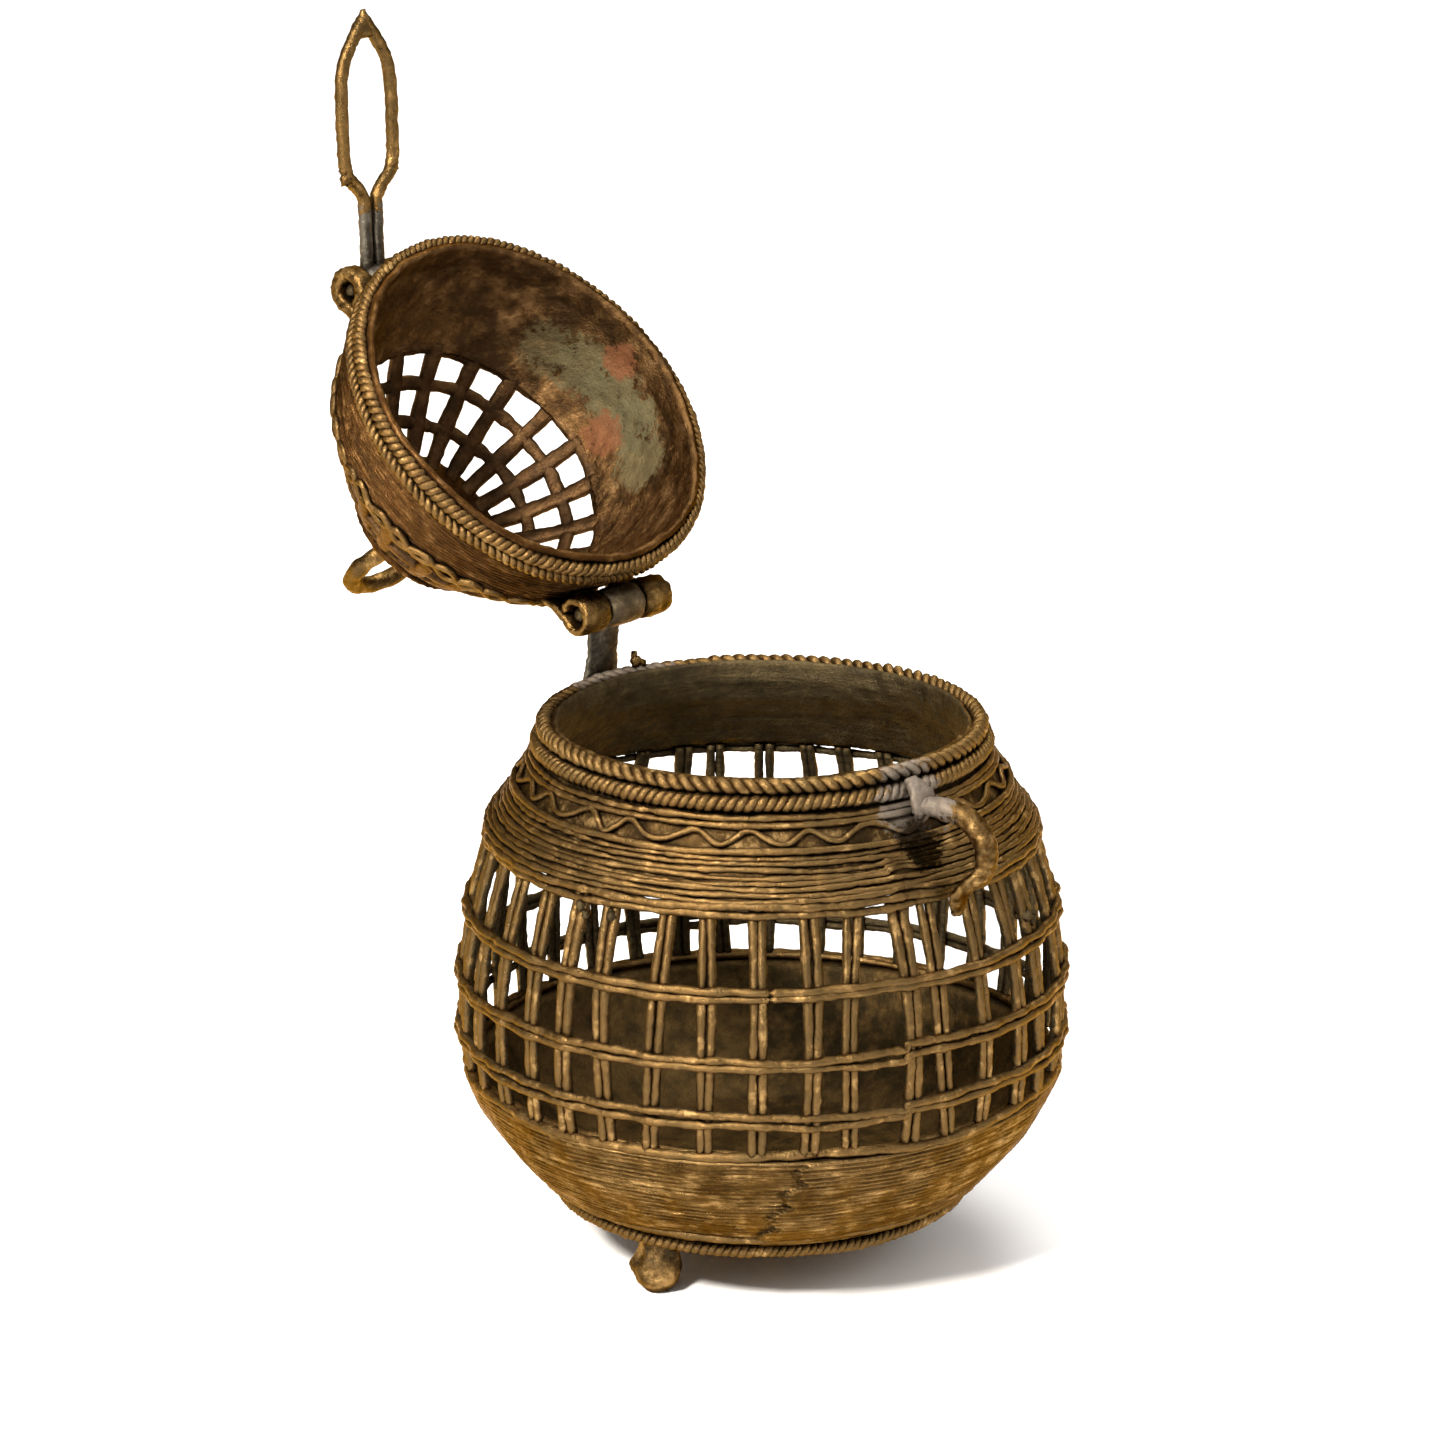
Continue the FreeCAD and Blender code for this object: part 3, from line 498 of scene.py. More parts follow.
BRIGHT = (0.57, 0.365, 0.145)
MIDDLE = (0.056, 0.0245, 0.005)
DULL = (0.0165, 0.008, 0.002)
# near black: soot in pits and gaps, and also painted shade in the gaps, behind the staple and along the bowl's
# lap
SOOT_AND_SHADE = (0.01, 0.0065, 0.003)
EDGE = (0.84, 0.57, 0.36)        # tint of what shines at a glancing angle
GREY = (0.145, 0.125, 0.105)
VERDIGRIS = (0.09, 0.08, 0.04)
COPPER = (0.15, 0.056, 0.024)


def brass(name, bright=BRIGHT, middle=MIDDLE, dull=DULL, rough=0.34, stains_and_shade=(), layers=0.0, tilt=0.0,
          polish=0.5, dirt_and_shade=1.0, pits=0.5, relief=1.0):
    """Cast brass: rubbed bright on what stands out, brown in between, with soot and painted shade in the gaps.

    layers is how much of the tone runs in level lines, and tilt how far the piece is tipped. polish,
    the darkening of the gaps (soot together with painted shade) and pits are how much there is of each,
    and relief how rough the cast skin is. A stain or a patch of painted shade is a colour, a place, a
    reach in mm and a strength.
    """
    tree = Tree(name)
    cloud = tree.noise(36.0, 4.0, 0.6)
    patch = tree.noise(290.0, 6.0, 0.65)
    grain = tree.noise(2600.0, 3.0, 0.7)
    speck = tree.noise(1100.0, 4.0, 0.75)
    lines = tree.noise(95.0, 6.0, 0.72, squeeze=12.0, tilt=tilt)
    worn = tree.ramp(tree.add("ShaderNodeNewGeometry").outputs["Pointiness"], 0.495, 0.56)
    # how deep a place lies in a gap, read from occlusion; it drives both soot and painted shade
    gap = tree.ramp(tree.crevice(2.4), 0.2, 0.8)

    tone = tree.plus(tree.times(cloud, 0.40 - 0.20 * layers), tree.times(patch, 0.60 - 0.35 * layers))
    tone = tree.plus(tone, tree.times(lines, 0.55 * layers))
    colour = tree.blend(tree.ramp(tone, 0.4, 0.58), dull, middle)
    rubbed = tree.plus(tree.times(patch, 1.0 - 0.6 * layers), tree.times(lines, 0.6 * layers))
    shine = tree.times(tree.ramp(rubbed, 0.5, 0.68), polish)
    shine = tree.maths("MAXIMUM", shine, tree.times(worn, 0.28 * polish))
    colour = tree.blend(shine, colour, bright)

    stain_share = None
    # each patch is a real stain, or near-black painted shade
    for tint, place, reach, strength in stains_and_shade:
        near = broken = tree.nearness(place, reach)
        for noise in (patch, speck):
            broken = tree.plus(broken, tree.times(tree.maths("SUBTRACT", noise, 0.5), 3.0))
        ragged = tree.ramp(tree.times(broken, tree.ramp(near, 0.0, 0.2)), 0.25, 0.75, 0.0, strength)
        colour = tree.blend(ragged, colour, tint)
        if tint != SOOT_AND_SHADE:
            stain_share = ragged if stain_share is None else tree.maths("MAXIMUM", stain_share, ragged)
    # gaps darkened towards near black and made less metallic: partly soot, partly painted shade
    grime_and_shade = tree.times(gap, dirt_and_shade)
    colour = tree.blend(grime_and_shade, colour, SOOT_AND_SHADE)
    hole = tree.times(tree.ramp(speck, 0.655, 0.72), pits)
    colour = tree.blend(hole, colour, SOOT_AND_SHADE)
    tree.feed(tree.shader.inputs["Base Color"], colour)

    metal = tree.ramp(grime_and_shade, 0.2, 1.0, 1.0, 0.9)
    if stain_share is not None:
        metal = tree.times(metal, tree.ramp(stain_share, 0.2, 1.0, 1.0, 0.55))
    tree.feed(tree.shader.inputs["Metallic"], metal)
    tree.shader.inputs["Specular Tint"].default_value = (*EDGE, 1.0)
    matt = tree.plus(tree.ramp(speck, 0.3, 0.7, rough - 0.08, rough + 0.14), tree.times(grime_and_shade, 0.25))
    if stain_share is not None:
        matt = tree.plus(matt, tree.times(stain_share, 0.2))
    tree.feed(tree.shader.inputs["Roughness"], matt)

    normal = tree.bump(speck, 0.18 * relief, 0.9)
    normal = tree.bump(grain, 0.08 * relief, 1.0, under=normal)
    if layers > 0:
        normal = tree.bump(lines, 0.45 * layers, 0.9, under=normal)
    tree.feed(tree.shader.inputs["Normal"], normal)
    return tree.material


LAP = math.radians(225.5)        # where the sheet of wax for the bowl laps over itself
LAP_HEIGHTS = (15.5, 18.0, 20.5, 23.0, 25.5, 28.0, 30.0)


def lap_lean(height):
    """How far round the bowl its lap has leaned at a height."""
    return 0.0087 * (height - 22.0) - 0.02 * np.sin(1.3 * height)


def on_lap(height):
    """A place on the bowl's lap."""
    angle = LAP + lap_lean(height)
    radius = BOWL_CENTRE[0] + math.sqrt(BOWL_CURVE ** 2 - (height - BOWL_CENTRE[1]) ** 2)
    return radius * math.cos(angle), radius * math.sin(angle), height


def make_materials():
    hinge_foot = (2.5, 35.5, 93.0)
    staple_root = (-6.8, -39.5, 86.5)
    # painted shadow: a near-black patch on the wall behind the staple, where its shade falls
    painted_shadow_behind_staple = (-8.0, -41.5, 79.2)
    # grey stains at the hinge's foot and the staple's root, and the painted shadow behind the staple
    pot_stain_and_shadow_patches = [(GREY, hinge_foot, 15.0, 0.8), (GREY, staple_root, 10.0, 0.85),
                  (SOOT_AND_SHADE, painted_shadow_behind_staple, 6.0, 1.0)]
    lid_stains = [(VERDIGRIS, (23.4, 69.8, 136.3), 7.0, 0.55), (VERDIGRIS, (26.8, 65.0, 133.0), 7.5, 0.75),
                  (VERDIGRIS, (27.8, 60.0, 128.5), 8.0, 0.85), (VERDIGRIS, (28.6, 55.4, 124.5), 7.0, 0.9),
                  (VERDIGRIS, (26.5, 51.5, 119.0), 7.5, 0.7), (COPPER, (29.6, 58.8, 134.6), 4.5, 0.85),
                  (COPPER, (26.6, 60.6, 121.8), 5.5, 0.8)]
    return {
        "thread": brass("brass_thread", stains_and_shade=pot_stain_and_shadow_patches, polish=0.6, layers=0.5),
        "bar": brass("brass_bar", middle=(0.066, 0.033, 0.01), dull=(0.024, 0.0132, 0.0048)),
        "bowl": brass("brass_bowl", layers=1.0, polish=0.7, rough=0.32, dirt_and_shade=0.9,
                      middle=(0.102, 0.057, 0.0185), dull=(0.031, 0.017, 0.0058),
                      # painted shade: near-black spots along the lap, under its step
                      stains_and_shade=[(SOOT_AND_SHADE, on_lap(height), 1.5, 0.7) for height in LAP_HEIGHTS]),
        "shell": brass("brass_shell", stains_and_shade=pot_stain_and_shadow_patches, polish=0.35, rough=0.42, pits=0.9, relief=1.6,
                       middle=(0.082, 0.046, 0.016), dull=(0.03, 0.018, 0.0075)),
        "foot": brass("brass_foot", rough=0.36, pits=1.0, relief=2.0,
                      middle=(0.19, 0.11, 0.038), dull=(0.05, 0.034, 0.016)),
        "inside": brass("brass_inside", polish=0.1, rough=0.5, layers=0.7, pits=0.9, relief=1.5,
                        bright=(0.22, 0.15, 0.07), middle=(0.085, 0.062, 0.03), dull=(0.045, 0.034, 0.019)),
        "floor": brass("brass_inside_bowl", polish=0.15, rough=0.52, pits=0.8, relief=1.8, dirt_and_shade=0.6,
                       bright=(0.26, 0.16, 0.06), middle=(0.105, 0.064, 0.023), dull=(0.044, 0.031, 0.014)),
        "grey": brass("brass_oxidised", polish=0.4, rough=0.42,
                      bright=(0.42, 0.37, 0.29), middle=(0.075, 0.064, 0.048), dull=(0.026, 0.023, 0.018)),
        "tan": brass("brass_tan", rough=0.4,
                     bright=(0.42, 0.35, 0.24), middle=(0.15, 0.105, 0.055), dull=(0.07, 0.05, 0.029)),
        "curl": brass("brass_curl", polish=0.45, rough=0.3,
                      bright=(0.42, 0.26, 0.09), middle=(0.105, 0.056, 0.017), dull=(0.04, 0.023, 0.009)),
        "lid": brass("brass_lid", polish=0.4, layers=0.8, tilt=LID_OPEN,
                     bright=(0.4, 0.23, 0.09), middle=(0.072, 0.031, 0.0088), dull=(0.025, 0.012, 0.0046)),
        "lid_rope": brass("brass_lid_rope", polish=0.4, layers=0.3, tilt=LID_OPEN,
                          middle=(0.092, 0.046, 0.0135), dull=(0.032, 0.016, 0.0062)),
        "lid_inside": brass("brass_lid_inside", polish=0.3, rough=0.4, pits=1.0, relief=1.7,
                            stains_and_shade=lid_stains, bright=(0.32, 0.19, 0.085), middle=(0.12, 0.062, 0.022),
                            dull=(0.048, 0.026, 0.011)),
        "crown": brass("brass_crown", polish=0.2, rough=0.42, relief=1.3,
                       bright=(0.2, 0.115, 0.045), middle=(0.08, 0.041, 0.017), dull=(0.035, 0.02, 0.01)),
    }


materials = make_materials()


# ---- bowl and feet
def seam_step(angles, place, rise, run):
    """A lap joint: it climbs at once at a place and dies away over a run of turn."""
    past = np.mod(angles - place, TURN)
    return rise * np.exp(-past / run)


def make_bowl():
    wall = 3.2
    least_outside = 33.5         # radius; only the outer face gets ribs and the lap
    outer = arc_profile(BOWL_CENTRE, BOWL_CURVE, 12.3, 31.6, 150)
    inner = arc_profile(BOWL_CENTRE, BOWL_CURVE - wall, 13.2, 31.6, 40)
    floor = line_profile([(0.4, 13.2), inner[0]], 2.0)[:-1]
    underside = line_profile([outer[0], (32.6, 11.6), (31.5, 9.7), (0.4, 9.7)], 2.0)[1:]
    rounding = np.array([[outer[-1][0] - 0.5, 31.95], [inner[-1][0] + 0.6, 31.95]])
    profile = np.concatenate([floor, inner, rounding[::-1], outer[::-1], underside])
    ribs = noise_field(5, 9.0, 0.5)
    dents = noise_field(6, 17.0, 0.16)

    def field(angles, radius, height):
        outside = (radius > least_outside) & on_profile(radius, height, BOWL_CENTRE, BOWL_CURVE, 0.3)
        strength = np.clip(0.75 + push_of(angles, radius, height, ribs), 0.2, 1.2)
        wave = np.sin(height * TURN / RIB_PITCH + 0.9 * np.sin(3 * angles) + 1.5 * np.sin(angles + 1.0))
        lap = seam_step(angles - lap_lean(height), LAP, 0.75, 0.4)
        push = np.where(outside, 0.10 * wave * strength + lap - 0.25, 0.0)
        return radius + (push + push_of(angles, radius, height, dents) * (radius > 20)), height

    soup = Soup()
    lathe(soup, profile, 520, field)
    publish("bowl", soup, "pot", "base_bowl", "bowl", grain=0.025, seed=3, lining=("floor", POT_MIDDLE))


def make_threads(name, node, seed, *rings):
    """Plain threads for one CAD ring. Each is set out and up from it, with a share of its thickness."""
    radius, height, thick = ring_of(node)
    soup = Soup()
    for out, up, share, ring_seed, details in rings:
        thread_ring(soup, radius + out, height + up, thick * share, ring_seed, **details)
    publish(name, soup, "pot", node, "thread", seed=seed)


def make_rope(name, node, body, finish, twists, hand, rope_seed, seed, swell=1.0):
    radius, height, thick = ring_of(node, in_lid=body == "lid")
    soup = Soup()
    rope_ring(soup, radius, height, swell * thick, twists, hand, rope_seed)
    publish(name, soup, body, node, finish, seed=seed)


def make_base_threads():
    make_rope("base_rope_twist", "base_rope", "pot", "thread", 84, 1, 21, 4)
    make_threads("base_wire_thread", "base_wire", 5, (0.0, 0.0, 1.0, 23, {"wander": 0.1}))
    make_threads("bowl_edge_thread", "bowl_edge_wire", 6,
                 (0.0, 0.2, 0.95, 25, {"wander": 0.3, "lump": 0.12, "count": 480}),
                 (-0.9, 0.3, 0.8, 27, {"wander": 0.2}))


def make_feet():
    """Drops of metal: round at the bottom, pinched below the bowl, with a small flat to stand on."""
    for index, node in enumerate(("foot_left", "foot_right", "foot_rear")):
        low, high = box_of(node)
        middle = (low + high) / 2
        ball = (high[0] - low[0]) / 2
        side = [(0.3, 0.0), (1.9, 0.0), (3.2, 1.2), (3.95, 2.7), (ball, 3.9), (3.75, 5.5), (3.15, 6.9),
                (2.75, 8.2), (3.3, 9.5)]
        soup = Soup()
        lathe(soup, np.concatenate([smooth_path(side, 60), [(0.3, 9.5)]]), 48)
        lumps = noise_field(60 + index, 4.5, 0.22)
        points = soup.points[0]
        off_the_flat = np.clip(points[:, 2] / 3.0, 0, 1)[:, None]
        points = points + off_the_flat * outward(points) * lumps(points)[:, None]
        soup.points[0] = points + np.array([middle[0], middle[1], 0.0])
        publish(f"{node}_drop", soup, "pot", node, "foot", grain=0.05, seed=8 + index)


# ---- openwork belly
def belly(heights):
    return BELLY_CENTRE[0] + np.sqrt(BELLY_CURVE ** 2 - (heights - BELLY_CENTRE[1]) ** 2)


def make_bars():
    """Each upright bar is two threads laid side by side, leaning as a hand lays them."""
    inset = 1.42                 # of the bars behind the belly's outline
    source = np.random.default_rng(17)
    soup = Soup()
    low, high = 32.9, 72.2
    for bar in range(BAR_COUNT):
        base = math.radians(BAR_PHASE) + bar * TURN / BAR_COUNT
        lean = source.normal(0, 0.7, 3)
        width = 0.76 * source.uniform(0.9, 1.12)
        for side in (-1, 1):
            heights = np.linspace(low, high, 44)
            share = (heights - low) / (high - low)
            drift = lean[0] * (1 - share) + lean[1] * share + lean[2] * np.sin(math.pi * share)
            own = source.normal(0, 0.09) + 0.12 * np.sin(share * source.uniform(4, 9) + source.uniform(0, 6))
            radius = belly(heights) - inset + 0.12 * np.sin(share * 7 + source.uniform(0, 6))
            angle = base + (drift + side * (width * 0.98) + own) / radius
            path = round_places(angle, radius, heights)
            thick = width * (1 + 0.07 * np.sin(share * source.uniform(15, 30) + source.uniform(0, 6)))
            sweep(soup, path, outward(path), circle_section(10), thick, thick)
    beads = ((183.5, 69.5, 0.9), (185.0, 68.4, 0.7), (191.0, 69.0, 0.9), (285.0, 63.0, 1.0),
             (286.5, 62.0, 0.8))
    for angle, height, size in beads:
        turn = math.radians(angle)
        reach = belly(height) - 0.7
        blob(soup, np.array([reach * math.cos(turn), reach * math.sin(turn), height]), size, int(angle))
    publish("lattice_bar_threads", soup, "pot", "lattice_bars", "bar", grain=0.045, seed=12,
            lining=("inside", POT_MIDDLE))


def make_band(node, seed, step, dip, crack=None):
    """Two threads laid one over the other; their ends meet a little out of line at the seam.

    The band climbs by step after the seam and dips before it. A crack is a turn where it is nearly
    through.
    """
    radius, height, _ = ring_of(node)
    count = 780
    angles = turns(count)
    circle = ring_path(1.0, 0.0, count)
    whole = np.ones(count)
    if crack is not None:
        whole -= 0.75 * np.exp(-((angles - crack) / 0.007) ** 2)
    crossing = 0.16 * np.cos((angles - math.radians(BAR_PHASE)) * BAR_COUNT)
    past = np.mod(angles - SEAM, TURN)
    before = TURN - past
    climb = step * np.exp(-past / 0.45) - dip * np.exp(-before / 0.35)
    soup = Soup()
    for index, side in enumerate((-1, 1)):
        wander = noise_field(seed + index, 0.5, 0.16)(circle)
        swell = 1 + noise_field(seed + 4 + index, 0.07, 0.08)(circle)
        reach = radius - 0.02 + crossing + noise_field(seed + 8 + index, 0.4, 0.1)(circle)
        path = ring_path(reach, height + 0.62 * side + climb + wander, count)
        thick = 0.68 * swell * whole
        sweep(soup, path, outward(path), circle_section(10), thick, thick, closed=True)
    publish(node.replace("lattice", "belly"), soup, "pot", node, "thread", seed=seed,
            lining=("inside", POT_MIDDLE))


def make_belly():
    make_bars()
    make_band("lattice_band_low", 31, 0.55, 0.35)
    make_band("lattice_band_middle", 41, 0.8, 0.15)
    make_band("lattice_band_high", 51, 0.35, -0.5, crack=math.radians(223.5))
    make_band("lattice_band_top", 71, 0.1, 0.0)


# ---- shoulder and rim
CONE_LOW = (45.0, 72.9)
CONE_HIGH = (40.2, 79.1)
SHOULDER_THREADS = 8


def make_shoulder():
    """The cast wall, with the coiled thread that ribs its cone."""
    sink = 0.6                   # of the wall below the coil
    outer = [(CONE_LOW[0] - sink, CONE_LOW[1] - 0.2), (CONE_HIGH[0] - sink, CONE_HIGH[1] - 0.2), (39.0, 80.3),
             (36.4, 83.9), (35.0, 86.2), (34.1, 88.4), (33.95, 89.3)]
    inner = [(33.3, 89.7), (32.95, 89.2), (33.1, 86.4), (34.5, 83.1), (38.3, 78.4), (42.5, 72.6)]
    profile = line_profile(outer + inner + [outer[0]], 0.7)[:-1]
    bumps = noise_field(81, 3.2, 0.09)
    dents = noise_field(82, 15.0, 0.12)

    def field(angles, radius, height):
        return radius + push_of(angles, radius, height, bumps, dents), height

    wall = Soup()
    lathe(wall, profile, 420, field)
    publish("shoulder_wall", wall, "pot", "shoulder_shell", "shell", seed=14, lining=("inside", SHOULDER_MIDDLE))
    coil = Soup()
    for thread in range(SHOULDER_THREADS):
        share = (thread + 0.35) / (SHOULDER_THREADS - 0.1)
        radius = CONE_LOW[0] + share * (CONE_HIGH[0] - CONE_LOW[0]) - 0.34
        height = CONE_LOW[1] + share * (CONE_HIGH[1] - CONE_LOW[1]) - 0.12
        thread_ring(coil, radius, height, 0.5, 90 + 5 * thread, wander=0.15, lump=0.13, count=560, sides=8,
                    slump=0.5 + 0.5 * math.sin(5.0 * thread))
    publish("shoulder_coil", coil, "pot", "shoulder_shell", "thread", seed=15)


def make_wave(name, node, body, count_of_waves, place_at, thick, height, seed, start=0.0, finish="thread"):
    """A wavy thread; place_at turns a climb into a radius and a height."""
    count = count_of_waves * 22
    angles = turns(count)
    circle = ring_path(1.0, 0.0, count)
    uneven = noise_field(seed, 0.5, 0.5)(circle)
    tall = height * (1 + noise_field(seed + 1, 0.3, 0.14)(circle))
    climb = tall * np.sin(angles * count_of_waves + start + uneven) + noise_field(seed + 2, 0.6, 0.1)(circle)
    radius, level = place_at(climb)
    path = ring_path(radius, level, count)
    size = thick * (1 + noise_field(seed + 3, 0.08, 0.08)(circle))
    soup = Soup()
    sweep(soup, path, outward(path), circle_section(10), size, size, closed=True)
    publish(name, soup, body, node, finish, seed=seed)


def make_rim():
    def on_cone(climb):
        lean = math.atan2(2.6, 3.6)
        return 38.75 - climb * math.sin(lean), 81.55 + climb * math.cos(lean)

    make_wave("shoulder_wave_thread", "shoulder_wave", "pot", 25, on_cone, 0.5, 1.05, 121)
    make_threads("shoulder_wire_thread", "shoulder_wire", 16, (0.1, 0.0, 1.0, 131, {"wander": 0.1}))
    make_threads("neck_band_threads", "neck_band", 17,
                 (0.45, -0.45, 0.58, 133, {"wander": 0.1, "lump": 0.1}),
                 (-0.1, 0.55, 0.58, 137, {"wander": 0.1, "lump": 0.1}))
    make_rope("rim_twist_lower", "rim_rope_lower", "pot", "thread", 78, 1, 141, 141, swell=1.13)
    make_rope("rim_twist_upper", "rim_rope_upper", "pot", "thread", 54, -1, 151, 151, swell=1.13)


# ---- hinge and staple
def curl(pivot, radius, start, sweep_angle, count):
    """Points round a pivot in the upright plane across the hinge, from one angle to another."""
    angles = np.radians(np.linspace(start, start + sweep_angle, count))
    return np.stack([pivot[0] + radius * np.cos(angles), pivot[1] + radius * np.sin(angles)], axis=1)


def bent_strip(soup, line, middle_x, half_width, half_thick):
    """A flat strip of given width bent along a line of (y, z) points."""
    line = np.asarray(line, float)
    path = np.column_stack([np.full(len(line), middle_x), line])
    rod(soup, path, ALONG_X, half_width, half_thick, block_section(20, 3.4))


def make_pin(name, node, body, pivot, count, trims, radius, grain, seed):
    """A plain pin along X, trimmed at both ends of its CAD node."""
    low, high = box_of(node, in_lid=body == "lid")
    stations = np.linspace(low[0] + trims[0], high[0] - trims[1], count)
    path = np.column_stack([stations, np.full(count, pivot[0]), np.full(count, pivot[1])])
    soup = Soup()
    rod(soup, path, UP, radius, radius)
    publish(name, soup, body, node, "inside", grain=grain, seed=seed)


def make_curl(node, seed, pivot, radius, thick, start, sweep_angle, leaf, leaf_count, grain):
    """A strip that leaves the dome and curls right round a pin."""
    middle_x, half = span_of(node, in_lid=True)
    loop = curl(pivot, radius - thick, start, sweep_angle, 44)
    leaf = smooth_path([*leaf, loop[0]], leaf_count)
    soup = Soup()
    bent_strip(soup, np.concatenate([leaf[:-1], loop]), middle_x, half - 0.05, thick)
    publish(f"{node}_curl", soup, "lid", node, "curl", grain=grain, seed=seed)


def make_hinge():
    middle_x, half = span_of("hinge_strap")
    pivot = (HINGE[1], HINGE[2])
    thick = 0.88
    loop = curl(pivot, 3.4 - thick, -20.0, 300.0, 40)
    leaf = smooth_path([(39.35, 83.9), (38.7, 87.0), (38.15, 90.5), (37.7, 95.0), (37.3, 98.6), loop[0]], 40)
    knuckle = Soup()
    bent_strip(knuckle, np.concatenate([leaf[-3:-1], loop]), middle_x, half - 0.1, thick)
    publish("hinge_strap_curl", knuckle, "pot", "hinge_strap", "tan", grain=0.06, seed=18)
    strap = Soup()
    leaf = leaf[:-2]
    width = half + np.interp(np.arange(len(leaf)), (0, 8, 20, len(leaf) - 1), (0.6, 0.0, -0.7, -0.3))
    bent_strip(strap, leaf, middle_x, width, thick - 0.06)
    lip = smooth_path([(36.0, 100.4), (38.3, 101.0), (40.4, 101.8)], 8)
    bent_strip(strap, lip, middle_x, half - 1.1, 0.72)
    publish("hinge_strap_leaf", strap, "pot", "hinge_strap", "grey", grain=0.08, seed=40)
    burr = Soup()
    for shift, rise, size in ((4.6, 0.3, 1.0), (5.6, -0.3, 0.9), (4.1, 1.5, 0.7)):
        blob(burr, np.array([middle_x + shift, 34.6, 90.6 + rise]), size, int(270 + 10 * shift))
    publish("rim_burr", burr, "pot", "rim_rope_upper", "curl", grain=0.1, seed=41)
    make_pin("hinge_pin_rod", "hinge_pin", "pot", pivot, 24, (1.8, 1.4), 1.45, 0.04, 19)


def make_staple():
    """A rod bent into an eye, its ends beaten flat on the ropes and on the top band."""
    soup = Soup()
    leaf = smooth_path([(-37.4, 88.0, 1.3), (-38.9, 87.0, 2.2), (-39.9, 85.4, 2.7), (-39.9, 83.9, 2.3),
                        (-39.4, 82.7, 1.1)], 26)
    path = np.column_stack([np.full(len(leaf), STAPLE_SIDE - 0.6), leaf[:, :2]])
    rod(soup, path, ALONG_X, leaf[:, 2], 0.85, block_section(18, 2.8))
    stations = [
        # sideways, y, z, half width, half depth
        (-0.7, -39.8, 84.9, 2.0, 1.2), (-0.5, -41.0, 84.8, 1.7, 1.4), (0.1, -44.0, 84.7, 1.75, 1.65),
        (1.0, -47.4, 83.6, 1.8, 1.75), (1.6, -49.9, 81.0, 1.85, 1.75), (1.8, -50.6, 78.1, 1.85, 1.7),
        (1.4, -50.2, 75.3, 1.75, 1.45), (0.2, -48.5, 73.4, 2.0, 1.15), (-0.6, -47.4, 71.9, 2.1, 0.9),
        (-0.6, -47.0, 70.2, 1.9, 0.8), (-0.7, -46.9, 68.9, 1.2, 0.7),
    ]
    rows = smooth_path(stations, 80)
    path = np.column_stack([STAPLE_SIDE + rows[:, 0], rows[:, 1:3]])
    rod(soup, path, ALONG_X, rows[:, 3], rows[:, 4], block_section(18, 2.3))
    publish("staple_rod", soup, "pot", "staple", "thread", grain=0.07, seed=20)


# ---- lid
def dome_normal(points):
    middle = np.column_stack([outward(points)[:, :2] * DOME_CENTRE[0], np.full(len(points), DOME_CENTRE[1])])
    return unit(points - middle)


def make_lid_wall():
    outer = arc_profile(DOME_CENTRE, DOME_CURVE, 95.6, 111.2, 120)
    inner = arc_profile(DOME_CENTRE, DOME_CURVE - 1.7, 95.0, 111.2, 40)
    skirt = [(30.4, 95.0), (30.45, 92.0), (30.5, 90.1), (31.0, 89.9), (31.6, 90.1), (31.7, 94.0)]
    profile = np.concatenate([inner[::-1][:-1], line_profile(skirt, 0.8), outer])
    bumps = noise_field(201, 3.5, 0.08)
    dents = noise_field(202, 16.0, 0.18)

    def field(angles, radius, height):
        ribbed = on_profile(radius, height, DOME_CENTRE, DOME_CURVE, 0.2) & (height > 95.5)
        ribs = np.sin(height * TURN / LID_RIB_PITCH + 0.8 * np.sin(2 * angles))
        push = push_of(angles, radius, height, bumps, dents) + np.where(ribbed, 0.22 * ribs, 0.0)
        return radius + push, height

    soup = Soup()
    lathe(soup, profile, 420, field)
    publish("lid_dome", soup, "lid", "lid_wall", "lid", seed=22, lining=("lid_inside", LID_MIDDLE))


def make_lid_threads():
    make_rope("lid_twist_lower", "lid_rope_lower", "lid", "lid_rope", 76, 1, 211, 211)
    make_rope("lid_twist_upper", "lid_rope_upper", "lid", "lid_rope", 74, -1, 221, 221)

    def on_dome(climb):
        reach = DOME_CURVE + 0.45
        slope = math.asin((107.6 - DOME_CENTRE[1]) / reach) + climb / reach
        return round_profile(DOME_CENTRE, reach, slope)

    make_wave("lid_wave_thread", "lid_wave", "lid", 19, on_dome, 0.66, 1.45, 231, finish="lid_rope")
    make_wave("lid_wave_under", "lid_wave", "lid", 19, on_dome, 0.60, 1.45, 231, start=2.6, finish="lid_rope")


